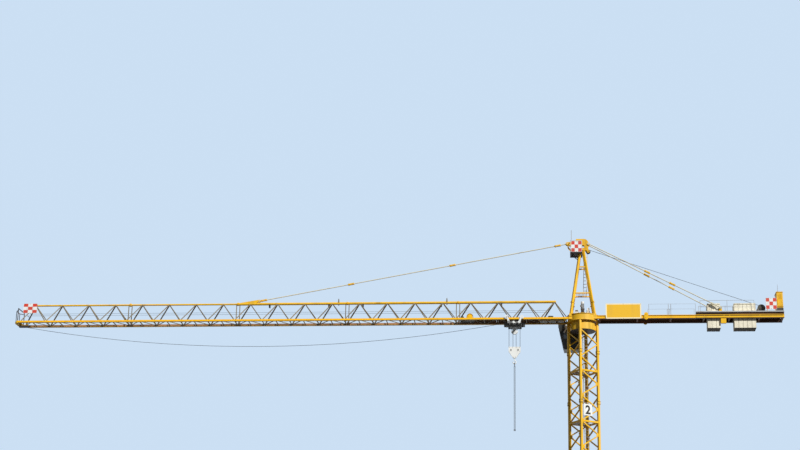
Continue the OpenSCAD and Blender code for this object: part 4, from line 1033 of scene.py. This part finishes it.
class CRANE_OT_tower_bolts(bpy.types.Operator):
    """Bolts of the tower's leg sleeves and base feet, and the gussets of its bracing"""

    bl_idname = "crane.tower_bolts"
    bl_label = "Tower bolts"

    def execute(self, context):
        width = context.scene.crane_sizes.bolt
        self.sleeve_bolts(width)
        self.anchors(width)
        self.gussets()
        return {"FINISHED"}

    def sleeve_bolts(self, width):
        """Four bolts on each outer face of the sleeves that join the leg sections."""
        spots = []
        for i in range(4):
            for angle in (TOWER_TURN + math.radians(90 * (i + face)) for face in (0, 1)):
                normal = Vector((math.cos(angle), math.sin(angle), 0))
                side = Vector((-normal.y, normal.x, 0))
                face_middle = tower_leg(i) + normal * 0.063
                for k in range(SECTIONS):
                    sleeve_z = BASE_TOP + k * SECTION + 0.9
                    for across in (-0.034, 0.034):
                        for rise in (-0.055, 0.055):
                            point = face_middle + side * across
                            point.z = sleeve_z + rise
                            spots.append(facing(point, normal))
        spread(bolt_head(width * 0.8), "sleeve_bolts", "dark_steel", spots, "tower")

    def anchors(self, width):
        """Nuts and threaded studs in the four holes of each foot."""
        stud = new_rod((0, 0, -0.036), (0, 0, 0.055), 0.030, 16)
        nut = bolt_head(width * 1.35)
        anchor = joined([stud, nut], "anchor")
        spots = []
        for i in range(4):
            angle = corner_angle(i)
            centre = FOOT_RADIUS * math.cos(angle), FOOT_RADIUS * math.sin(angle)
            spots += [moved(x, y, FOOT_TOP) for x, y in round_axis(
                4, ANCHOR_RADIUS, angle + math.radians(45), centre)]
        spread(anchor, "anchor_nuts", "dark_steel", spots, "tower")

    def gussets(self):
        """Small plates where the zigzag braces meet the legs."""
        levels = 32
        plate = new_box((-0.06, -0.003, -0.07), (0.06, 0.003, 0.07))
        on_faces(plate, towards_axis("x", 1), resize(1, 1, 0.45))
        bevel(plate, 0.002, 1)
        spots = []
        for side in range(4):
            turn = turned(TOWER_TURN + math.radians(90 * side))
            for k in range(levels):
                end = 1 if k % 2 == 0 else -1
                place = moved(end * (TOWER_HALF - 0.105), TOWER_HALF + 0.0285,
                              BASE_TOP + 0.038 + k * SECTION / 4)
                spots.append(turn @ place @ turned(math.pi if end > 0 else 0))
        spread(plate, "brace_gussets", "yellow_paint", spots, "tower")


class CRANE_OT_slewing_bolts(bpy.types.Operator):
    """Bolts round the turntable and the bearing, and the pins of the jib's joints"""

    bl_idname = "crane.slewing_bolts"
    bl_label = "Slewing bolts"

    def execute(self, context):
        width = context.scene.crane_sizes.bolt
        spread(bolt_head(width * 0.8), "turntable_bolts", "dark_steel",
               ring_of(48, 0.676, TURNTABLE_TOP) + ring_of(40, 0.470, -0.115, -1))
        spread(bolt_head(width * 0.8), "bearing_bolts", "dark_steel",
               ring_of(40, 0.530, -0.205, start=0.05), "tower")
        self.joint_pins()
        self.leg_bolts(width)
        return {"FINISHED"}

    def joint_pins(self):
        """Two headed pins across each lower chord joint and one in the top chord joint."""
        spots = []
        for j in range(1, JIB_SECTIONS):
            x = -(ROOT_X + j * SECTION_BAYS * BAY) + 0.065
            for side in SIDES:
                for z in (-0.035, 0.035):
                    spots.append(facing(at(x, side * CHORD_Y, z), (0, side, 0)))
            spots.append(facing(at(x, 0, JIB_TOP), (0, -1, 0)))
        pin = new_rod((0, 0, -0.062), (0, 0, 0.050), 0.026, 16)
        head = new_rod((0, 0, -0.070), (0, 0, -0.060), 0.044, 16)
        key = new_rod((-0.02, 0, 0.046), (0.02, 0, 0.046), 0.006, 8)
        spread(joined([pin, head, key], "pin"), "chord_pins", "dark_steel", spots)

    def leg_bolts(self, width):
        """Bolts that clamp the collars half way up the tower top's legs."""
        foot_z, collar_z = 0.200, 0.772
        share = (collar_z - foot_z) / (LEG_HEAD - foot_z)
        x, y = 0.520 - 0.450 * share, CHORD_Y - 0.3025 * share
        spots = [moved(*at(sx * x + dx, sy * y + dy, collar_z + 0.004))
                 for sx in SIDES for sy in SIDES
                 for dx in (0.054, -0.054) for dy in (0.054, -0.054)]
        spread(bolt_head(width * 0.6), "leg_joint_bolts", "dark_steel", spots)


# Jib fittings

# Side, height, X of both ends and half length of the end bars of each life line
LIFE_LINES = ((-1, 0.36, (-25.315, -1.600), 0.248), (1, 0.50, (-25.223, -1.499), 0.186))
ROLLERS_X = (-14.10, -11.39, -9.84, -6.3, -3.6)
LUGS_X = (-10.95, -6.05)
# X and radius of the pulleys under the jib's root
ROOT_PULLEYS = ((-1.72, 0.15), (-1.34, 0.15), (-0.96, 0.13))


class CRANE_OT_jib_fittings(bpy.types.Operator):
    """Life lines, hanging rollers, lifting lugs and the pulleys under the jib root"""

    bl_idname = "crane.jib_fittings"
    bl_label = "Jib fittings"

    def execute(self, context):
        self.walkway()
        self.life_lines()
        self.rollers()
        self.lifting_lugs()
        self.root_pulleys()
        self.limit_box()
        return {"FINISHED"}

    def walkway(self):
        """Dark planks between the lower chords, from the root out to the trolley winch."""
        plank = new_box((-0.505, -0.055, 0.0), (0.505, 0.055, 0.018))
        bevel(plank, 0.003, 1)
        spots = [moved(*at(-1.27 - 1.02 * run, y, 0.0175))
                 for run in range(4) for y in spaced(6, 0.118)]
        spread(plank, "walkway", "dark_boards", spots)

    def life_lines(self):
        """Two steel lines stretched through the jib between bars on its end diagonals."""
        lines = []
        for side, z, ends, reach in LIFE_LINES:
            lines.append(tube([at(x, side * 0.10, z) for x in ends], 0.011, 1))
            lines += [new_rod(at(x, -reach, z), at(x, reach, z), 0.018, 8) for x in ends]
        dress(lines, "life_lines", "wire_rope")

    def rollers(self):
        """Rope rollers in brackets that hang from the top chord."""
        roller = new_rod((0, -0.05, -0.15), (0, 0.05, -0.15), 0.07, 20)
        on_faces(roller, either_end, inset(0.012, -0.006))
        cheeks = [new_box((-0.03, side * 0.062 - 0.004, -0.18),
                          (0.03, side * 0.062 + 0.004, -0.03), 0.003) for side in SIDES]
        saddle = new_box((-0.04, -0.066, -0.046), (0.04, 0.066, -0.034), 0.003)
        spots = [moved(*at(x, 0, JIB_TOP)) for x in ROLLERS_X]
        spread(joined([roller, *cheeks, saddle], "roller"), "rope_rollers", "dark_steel", spots)

    def lifting_lugs(self):
        """Upright lugs on the top chord, each on a foot with two straps."""
        lug = new_box((-0.035, -0.008, 0.0), (0.035, 0.008, 0.17))
        on_faces(lug, towards_axis("z", 1), resize(0.45, 1, 1))
        bevel(lug, 0.004)
        foot = new_box((-0.055, -0.03, -0.006), (0.055, 0.03, 0.006), 0.003)
        straps = [new_box((-0.020, side * 0.052 - 0.003, -0.135),
                          (0.020, side * 0.052 + 0.003, 0.004), 0.002) for side in SIDES]
        spots = [moved(*at(x, 0, JIB_TOP + 0.052)) for x in LUGS_X]
        spread(joined([lug, foot, *straps], "lug"), "lifting_lugs", "lacing_paint", spots)

    def root_pulleys(self):
        """Flat rope pulleys under the root of the jib, on a cross channel."""
        pieces = []
        y, z = -0.16, -0.085
        for x, radius in ROOT_PULLEYS:
            deselect()
            bpy.ops.mesh.primitive_torus_add(
                major_radius=radius, minor_radius=0.022, major_segments=40, minor_segments=10,
                location=at(x, y, z))
            rim = bpy.context.object
            settle(rim)
            smooth_edges(rim, 60)
            pieces += [rim, new_rod(at(x, y, z - 0.03), at(x, y, z + 0.07), 0.05, 20)]
            for k in range(3):
                spoke = new_box((-radius, -0.012, -0.006), (radius, 0.012, 0.006), 0.002)
                spoke.data.transform(moved(*at(x, y, z)) @ turned(math.radians(60 * k + 15)))
                pieces.append(spoke)
        dress(pieces, "root_pulleys", "white_paint")
        channel = new_box(at(-1.95, -0.20, -0.035), at(-0.74, -0.12, -0.017), 0.004)
        dress([channel], "pulley_channel", "yellow_paint")

    def limit_box(self):
        """The switch box on the near chord at the jib root."""
        box = new_box(at(-1.53, -0.44, 0.045), at(-1.29, -0.34, 0.088), 0.008)
        on_faces(box, towards_axis("z", 1), inset(0.030, 0.018))
        dress([box], "limit_box", "cab_paint")


# Cab

CAB_X = (-1.080, -0.100)
CAB_Y = (0.875, 1.575)
CAB_Z = (-1.095, 0.085)
# How much further in the cab's front stands at its foot than at its roof
CAB_LEAN = 0.240
# Low and high edges of the two front panes
FRONT_PANES = ((-1.005, -0.535), (-0.475, -0.025))


def cab_front(z):
    """Where the cab's leaning front stands at height z above the jib's chords."""
    return CAB_X[0] + CAB_LEAN * (CAB_Z[1] - z) / (CAB_Z[1] - CAB_Z[0])


def laid(origin, right, up):
    """The placement of a piece modelled on the XY plane, with its X and Y along right and up."""
    right, up = Vector(right).normalized(), Vector(up).normalized()
    return moved(*at(*origin)) @ Matrix((right, up, right.cross(up))).transposed().to_4x4()


def window_frame(width, height, bar=0.022, proud=0.008, lap=0.006):
    """A rubber frame round an opening that starts at the origin, standing up along Z."""
    return joined([
        new_box((-bar, -bar, 0), (width + bar, lap, proud), 0.003),
        new_box((-bar, height - lap, 0), (width + bar, height + bar, proud), 0.003),
        new_box((-bar, lap, 0), (lap, height - lap, proud), 0.003),
        new_box((width - lap, lap, 0), (width + bar, height - lap, proud), 0.003)], "frame")


class CRANE_OT_cab_fittings(bpy.types.Operator):
    """Window frames, wiper, door, roof hatch, grab rails and the white bracket of the cab"""

    bl_idname = "crane.cab_fittings"
    bl_label = "Cab fittings"

    def execute(self, context):
        self.window_frames()
        self.bracket()
        self.door()
        self.roof()
        return {"FINISHED"}

    def window_frames(self):
        """Rubber frames round the four panes, and the wiper of the upper front one."""
        slope = Vector((-CAB_LEAN, 0, CAB_Z[1] - CAB_Z[0]))
        steep = slope.length / slope.z
        side_pane, sill = (0.651, 0.574), -0.599
        panes = [(*side_pane, laid((-0.861, CAB_Y[0], sill), (1, 0, 0), (0, 0, 1))),
                 (*side_pane, laid((-0.210, CAB_Y[1], sill), (-1, 0, 0), (0, 0, 1)))]
        panes += [(0.580, (high - low) * steep,
                   laid((cab_front(low), 1.515, low), (0, -1, 0), slope))
                  for low, high in FRONT_PANES]
        frames = []
        for width, height, place in panes:
            frame = window_frame(width, height)
            frame.data.transform(place)
            frames.append(frame)
        arm = new_rod((0.30, -0.03, 0.016), (0.17, 0.24, 0.016), 0.012)
        blade = new_box((-0.007, -0.16, 0.006), (0.007, 0.16, 0.016), 0.002)
        blade.data.transform(moved(0.17, 0.25, 0) @ turned(0.35))
        motor = new_rod((0.30, -0.03, 0.0), (0.30, -0.03, 0.030), 0.045, 16)
        wiper = joined([arm, blade, motor], "wiper")
        wiper.data.transform(panes[3][2])
        dress([*frames, wiper], "cab_frames", "dark_steel")

    def bracket(self):
        """The folded white bracket that stands off the wall beside the tower."""
        upper = new_box(at(-0.796, 0.852, -0.132), at(-0.686, 0.862, 0.054), 0.003)
        on_faces(upper, towards_axis("y", -1), inset(0.014, -0.003))
        lower = new_box((-0.034, -0.005, -0.116), (0.034, 0.005, 0.116), 0.003)
        lean = math.atan2(0.105, 0.207)
        lower.data.transform(moved(*at(-0.7835, 0.857, -0.2355)) @ turned(lean, "Y"))
        feet = [new_rod(at(x, 0.860, 0.03), at(x, 0.880, 0.03), 0.020) for x in (-0.765, -0.715)]
        dress([upper, lower, *feet], "cab_bracket", "white_paint")

    def door(self):
        """The rear door with hinges and a handle, between two grab rails."""
        x = CAB_X[1]
        door = new_box(at(x - 0.001, 1.02, -1.05), at(x + 0.014, 1.47, -0.03), 0.004)
        on_faces(door, towards_axis("x", 1), inset(0.03, -0.004), inset(0.01, 0.002))
        hinges = [new_rod(at(x + 0.014, 1.025, z - 0.03), at(x + 0.014, 1.025, z + 0.03), 0.020)
                  for z in (-0.92, -0.54, -0.16)]
        handle = new_box(at(x + 0.012, 1.415, -0.60), at(x + 0.045, 1.435, -0.48), 0.005)
        dress([door, *hinges, handle], "cab_door", "cab_paint")
        rails = [tube([at(x + out, y, z) for out, z in (
            (-0.002, -0.95), (0.045, -0.93), (0.045, -0.27), (-0.002, -0.25))], 0.018)
            for y in (0.955, 1.525)]
        dress(rails, "cab_rails", "galvanised")

    def roof(self):
        """A hatch on the roof and a gutter round it."""
        top = CAB_Z[1]
        hatch = new_box(at(-0.80, 1.02, top - 0.001), at(-0.36, 1.43, top + 0.030), 0.006)
        on_faces(hatch, towards_axis("z", 1), inset(0.02, 0.004))
        low, high = (CAB_X[0] - 0.004, CAB_Y[0] - 0.004), (CAB_X[1] + 0.004, CAB_Y[1] + 0.004)
        gutter = [new_box(at(low[0], y - 0.010, top - 0.022), at(high[0], y + 0.010, top + 0.008),
                          0.003) for y in (low[1], high[1])]
        gutter += [new_box(at(x - 0.010, low[1], top - 0.022), at(x + 0.010, high[1], top + 0.008),
                           0.003) for x in (low[0], high[0])]
        dress([hatch, *gutter], "cab_roof", "cab_paint")


# Drives

# X, Y, top above the chords, height and turn of each slewing drive
DRIVES = ((0.0, -0.25, 0.780, 0.600, -0.6), (-0.26, 0.19, 0.510, 0.330, 0.3),
          (0.25, 0.19, 0.510, 0.330, -0.2))
# Low and high corners of the switch boxes' lids
LIDS = (((0.209, -0.197, 0.20), (0.296, -0.189, 0.50)),
        ((-0.324, -0.177, 0.20), (-0.186, -0.169, 0.35)))


class CRANE_OT_drive_fittings(bpy.types.Operator):
    """Fan cowls, terminal boxes and flange bolts of the slewing drives"""

    bl_idname = "crane.drive_fittings"
    bl_label = "Drive fittings"

    def execute(self, context):
        cowl = new_rod((0, 0, -0.045), (0, 0, 0.012), 0.144, 32)
        on_faces(cowl, towards_axis("z", 1),
                 inset(0.010, -0.005), inset(0.030, 0.0), inset(0.006, 0.003))
        box = new_box((-0.045, -0.125, -0.05), (0.045, -0.062, 0.05), 0.006)
        on_faces(box, towards_axis("y", -1), inset(0.008, 0.006))
        tops, sides, bolts = [], [], []
        for x, y, top, height, turn in DRIVES:
            tops.append(moved(*at(x, y, top)))
            sides.append(moved(*at(x, y, TURNTABLE_TOP + 0.66 * height)) @ turned(turn))
            for rise, radius in ((0.030, 0.088), (0.45 * height + 0.022, 0.083)):
                bolts += [moved(*at(*spot, TURNTABLE_TOP + rise))
                          for spot in round_axis(10, radius, math.radians(10), (x, y))]
        spread(cowl, "fan_cowls", "white_paint", tops)
        spread(box, "terminal_boxes", "grey_paint", sides)
        self.switch_lids()
        spread(bolt_head(0.016), "drive_bolts", "galvanised", bolts)
        return {"FINISHED"}

    def switch_lids(self):
        """The lids of the two switch boxes, each with a knob."""
        lids = []
        for low, high in LIDS:
            lid = new_box(at(*low), at(*high), 0.003)
            on_faces(lid, towards_axis("y", -1), inset(0.008, -0.002))
            knob_x = high[0] - 0.016
            knob = [at(knob_x, low[1] + out, 0.26) for out in (-0.012, 0.002)]
            lids += [lid, new_rod(*knob, 0.016)]
        dress(lids, "switch_lids", "white_paint")


# Trolley and hook block

# Outer faces of the trolley's side plates and of the block's cheeks
TROLLEY_FACE = 0.534
BLOCK_FACE = 0.040
# Places on them, along X from the trolley's middle and up from the chords
GUIDE_PULLEYS = ((-0.02, -0.188), (0.235, -0.190))
TROLLEY_BOLTS = [(x, z) for x in (-0.27, -0.21, -0.13, 0.10, 0.16, 0.288)
                 for z in (-0.168, -0.218)]
BLOCK_BOLTS = ((-0.235, -1.215), (-0.075, -1.215), (0.075, -1.215), (0.235, -1.215),
               (-0.235, -1.385), (0.235, -1.385), (-0.05, -1.655), (0.05, -1.655))
PIN_ENDS = ((-0.1575, -1.368), (0.1575, -1.368))


def on_sides(face_y, places):
    """Placements on both outer faces."""
    return [facing(at(TROLLEY_X + dx, side * face_y, z), (0, side, 0))
            for side in SIDES for dx, z in places]


class CRANE_OT_trolley_fittings(bpy.types.Operator):
    """Pale guide pulleys on the trolley and bolts in the hook block's cheeks"""

    bl_idname = "crane.trolley_fittings"
    bl_label = "Trolley fittings"

    def execute(self, context):
        disc = new_rod((0, 0, -0.001), (0, 0, 0.022), 0.104, 32)
        on_faces(disc, towards_axis("z", 1),
                 inset(0.012, -0.006), inset(0.022, 0.0), inset(0.006, 0.008))
        spread(disc, "guide_pulleys", "white_paint",
               on_sides(TROLLEY_FACE, GUIDE_PULLEYS), "trolley")
        spread(bolt_head(0.022), "trolley_bolts", "galvanised",
               on_sides(TROLLEY_FACE, TROLLEY_BOLTS), "trolley")
        spread(bolt_head(0.022), "block_bolts", "galvanised",
               on_sides(BLOCK_FACE, BLOCK_BOLTS), "hook_block")
        keeper = new_box((-0.035, -0.012, -0.001), (0.035, 0.012, 0.008), 0.002)
        spread(keeper, "pin_keepers", "galvanised", on_sides(BLOCK_FACE, PIN_ENDS), "hook_block")
        return {"FINISHED"}


# Counter-jib fittings

# Start, end and height of each stretch of boards between the girders
DECKS = ((0.72, 4.94, 0.076), (4.97, 5.42, 0.185), (6.05, 6.57, 0.185), (7.58, 8.70, 0.185))
CABINET_X = (8.470, 8.737)
CABINET_Y = -0.310


class CRANE_OT_counter_fittings(bpy.types.Operator):
    """Deck boards, plates of painted shadow, cabinet door and plinth, and the hoist winch's guards
    """

    bl_idname = "crane.counter_fittings"
    bl_label = "Counter-jib fittings"

    def execute(self, context):
        self.deck_boards()
        self.painted_shade_plates()
        self.cabinet()
        self.winch_guards()
        return {"FINISHED"}

    def deck_boards(self):
        """Dark boards between the girders, seen from below; their dark colour is painted shade."""
        board = new_box((-0.5, -0.058, -0.011), (0.5, 0.058, 0.011))
        bevel(board, 0.003, 1)
        spots = [moved(*at((low + high) / 2, y, z)) @ Matrix.Diagonal((high - low, 1, 1, 1))
                 for low, high, z in DECKS for y in spaced(6, 0.122)]
        spread(board, "deck_boards", "dark_boards", spots)

    def painted_shade_plates(self):
        """Dark plates that paint the shadow cast by the raised deck's edge on the girders' webs."""
        dress([new_box(at(4.96, side * 0.437 - 0.004, 0.060), at(8.74, side * 0.437 + 0.004, 0.214),
                       0.002) for side in SIDES], "deck_painted_shade_plates", "dark_boards")

    def cabinet(self):
        """A door with hinges and a lock, a plinth and an aerial on the control cabinet."""
        (x0, x1), y = CABINET_X, CABINET_Y
        door = new_box(at(x0 + 0.012, y - 0.008, 0.545), at(x1 - 0.012, y - 0.0005, 0.835), 0.003)
        on_faces(door, towards_axis("y", -1), inset(0.014, -0.003))
        hinges = [new_rod(at(x0 + 0.016, y - 0.012, z - 0.03), at(x0 + 0.016, y - 0.012, z + 0.03),
                          0.014) for z in (0.60, 0.79)]
        lock = new_box(at(x1 - 0.045, y - 0.022, 0.66), at(x1 - 0.030, y - 0.007, 0.73), 0.003)
        dress([door, *hinges, lock], "cabinet_door", "yellow_paint")
        plinth = new_box(at(8.466, -0.314, 0.262), at(8.741, 0.314, 0.440), 0.004)
        on_faces(plinth, lambda face: abs(face.normal.z) < 0.1 and face.area > 0.03,
                 inset(0.02, -0.003))
        dress([plinth], "cabinet_plinth", "cab_paint")
        foot, socket, top = (at(8.53, -0.28, z) for z in (1.168, 1.21, 1.50))
        dress([new_rod(foot, top, 0.014, 10), new_rod(foot, socket, 0.034)],
              "cabinet_aerial", "galvanised")

    def winch_guards(self):
        """Dished plates at both ends of the hoist winch drum."""
        guards = []
        for side in SIDES:
            deselect()
            bpy.ops.mesh.primitive_cylinder_add(
                vertices=48, radius=0.172, depth=0.020, rotation=(math.radians(90), 0, 0),
                location=at(7.8, side * 0.236, 0.445))
            guard = bpy.context.object
            settle(guard)
            on_faces(guard, either_end, inset(0.022, -0.005))
            guards.append(guard)
        dress(guards, "winch_guards", "cab_paint")


# The frame's own nodes

# Nodes whose paint differs from their slot's
SPECIAL_PAINT = {
    "cab_shell": "cab_paint", "trolley_frame": "trolley_paint", "sign_panels": "sign_yellow",
    "jib_near_side": "lacing_paint", "jib_far_side": "lacing_paint", "jib_floor": "lacing_paint",
    "front_tie": "tie_paint", "rear_ties": "tie_paint", "counter_jib": "girder_paint",
    "tower_head": "drum_paint", "slewing_motors": "motor_paint", "rope_winches": "winch_paint",
    "jib_lower_chords": "chord_paint", "jib_tip": "tip_paint", "top_platform": "platform_paint"}


class CRANE_OT_frame_paint(bpy.types.Operator):
    """Gives each node of the frame its paint"""

    bl_idname = "crane.frame_paint"
    bl_label = "Frame paint"

    def execute(self, context):
        for node, piece in frame["nodes"].items():
            give(piece, SPECIAL_PAINT.get(node, SLOT_OF[node]))
        return {"FINISHED"}


# Stage

# Rays that see the plain background and the floor's own colour
SEEING_RAYS = ("Is Camera Ray", "Is Glossy Ray", "Is Transmission Ray")


class CRANE_OT_stage(bpy.types.Operator):
    """Floor, light, background and camera"""

    bl_idname = "crane.stage"
    bl_label = "Stage"

    def execute(self, context):
        stage = context.scene.crane_stage
        self.make_floor(tuple(stage.floor))
        self.make_world(tuple(stage.sky))
        self.make_sun()
        self.make_camera(stage)
        context.scene.view_settings.view_transform = "Standard"
        return {"FINISHED"}

    def make_floor(self, color):
        """A pale floor, which sends little light back up to the undersides."""
        deselect()
        bpy.ops.mesh.primitive_circle_add(vertices=96, radius=260, fill_type="NGON")
        floor = bpy.context.object
        floor.name = "floor"
        finish = Finish("floor")
        mottle = finish.noise(0.15, 4)
        camera, glossy, transmission = (
            finish.node("ShaderNodeLightPath", {}, {}, ray) for ray in SEEING_RAYS)
        pale = finish.mix(mottle, color, darker(color, 0.94))
        finish.close(
            Base_Color=finish.mix(camera + glossy + transmission, darker(color, 0.12), pale),
            Roughness=0.9)
        floor.data.materials.append(finish.material)
        floor.location.z = -0.002

    def make_world(self, color):
        """A plain colour where the camera looks, and a weaker sky light on the crane."""
        world = bpy.data.worlds.new("sky")
        bpy.context.scene.world = world
        world.use_nodes = True
        nodes, links = world.node_tree.nodes, world.node_tree.links
        nodes.clear()
        mix = nodes.new("ShaderNodeMixShader")
        for slot, tint, strength in ((1, (0.82, 0.90, 1.0), 0.15), (2, color, 1.0)):
            background = nodes.new("ShaderNodeBackground")
            background.inputs["Color"].default_value = (*tint, 1)
            background.inputs["Strength"].default_value = strength
            links.new(background.outputs[0], mix.inputs[slot])
        rays = nodes.new("ShaderNodeLightPath")
        seen = rays.outputs[SEEING_RAYS[0]]
        for ray in SEEING_RAYS[1:]:
            either = nodes.new("ShaderNodeMath")
            either.operation = "MAXIMUM"
            links.new(seen, either.inputs[0])
            links.new(rays.outputs[ray], either.inputs[1])
            seen = either.outputs[0]
        links.new(seen, mix.inputs[0])
        output = nodes.new("ShaderNodeOutputWorld")
        links.new(mix.outputs[0], output.inputs["Surface"])

    def make_sun(self):
        """A low sun from the right and a wide weak light from behind."""
        for name, toward, strength, angle in (
                ("sun", (0.52, -0.72, 0.62), 4.3, 3.0), ("fill", (-0.6, 0.55, 0.6), 0.5, 40.0)):
            sun = bpy.data.lights.new(name, "SUN")
            sun.energy = strength
            sun.angle = math.radians(angle)
            lamp = bpy.data.objects.new(name, sun)
            bpy.context.scene.collection.objects.link(lamp)
            lamp.rotation_mode = "QUATERNION"
            lamp.rotation_quaternion = Vector(toward).to_track_quat("Z", "Y")

    def make_camera(self, stage):
        """The photo's viewpoint, direction and lens."""
        turn, rise, roll = stage.turn, stage.rise, stage.roll
        ahead = Vector((-math.sin(turn) * math.cos(rise), math.cos(turn) * math.cos(rise),
                        math.sin(rise)))
        right = Vector((math.cos(turn), math.sin(turn), 0))
        up = right.cross(ahead)
        tilted_right = math.cos(roll) * right + math.sin(roll) * up
        tilted_up = math.cos(roll) * up - math.sin(roll) * right
        lens = bpy.data.cameras.new("camera")
        lens.sensor_width = 36
        lens.lens = stage.lens
        lens.clip_end = 1000
        camera = bpy.data.objects.new("camera", lens)
        bpy.context.scene.collection.objects.link(camera)
        camera.matrix_world = Matrix.Translation(stage.eye) @ Matrix(
            (tilted_right, tilted_up, -ahead)).transposed().to_4x4()
        bpy.context.scene.camera = camera


# Panel

OPERATORS = (
    CRANE_OT_stage, CRANE_OT_run_rope, CRANE_OT_sling, CRANE_OT_hoist_falls, CRANE_OT_boards,
    CRANE_OT_tie_joints, CRANE_OT_tower_bolts, CRANE_OT_slewing_bolts, CRANE_OT_jib_fittings,
    CRANE_OT_cab_fittings, CRANE_OT_drive_fittings, CRANE_OT_trolley_fittings,
    CRANE_OT_counter_fittings, CRANE_OT_frame_paint)


class CRANE_PT_sidebar(bpy.types.Panel):
    """Lists the crane's settings and the steps that dress it"""

    bl_idname = "CRANE_PT_sidebar"
    bl_label = "Tower crane"
    bl_space_type = "VIEW_3D"
    bl_region_type = "UI"
    bl_category = "Crane"

    def draw(self, context):
        for group in (context.scene.crane_paint, context.scene.crane_sizes,
                      context.scene.crane_stage):
            for key in group.__annotations__:
                self.layout.prop(group, key)
        for operator in OPERATORS:
            self.layout.operator(operator.bl_idname)


GROUPS = {"crane_paint": CranePaint, "crane_sizes": CraneSizes, "crane_stage": CraneStage}
CLASSES = (*GROUPS.values(), *OPERATORS, CRANE_PT_sidebar)


def register():
    for each in CLASSES:
        bpy.utils.register_class(each)
    for name, group in GROUPS.items():
        setattr(bpy.types.Scene, name, bpy.props.PointerProperty(type=group))


def unregister():
    for name in GROUPS:
        delattr(bpy.types.Scene, name)
    for each in reversed(CLASSES):
        bpy.utils.unregister_class(each)


def main():
    register()
    make_materials()
    for operator in OPERATORS:
        group, name = operator.bl_idname.split(".")
        getattr(getattr(bpy.ops, group), name)()


if __name__ == "__main__":
    main()
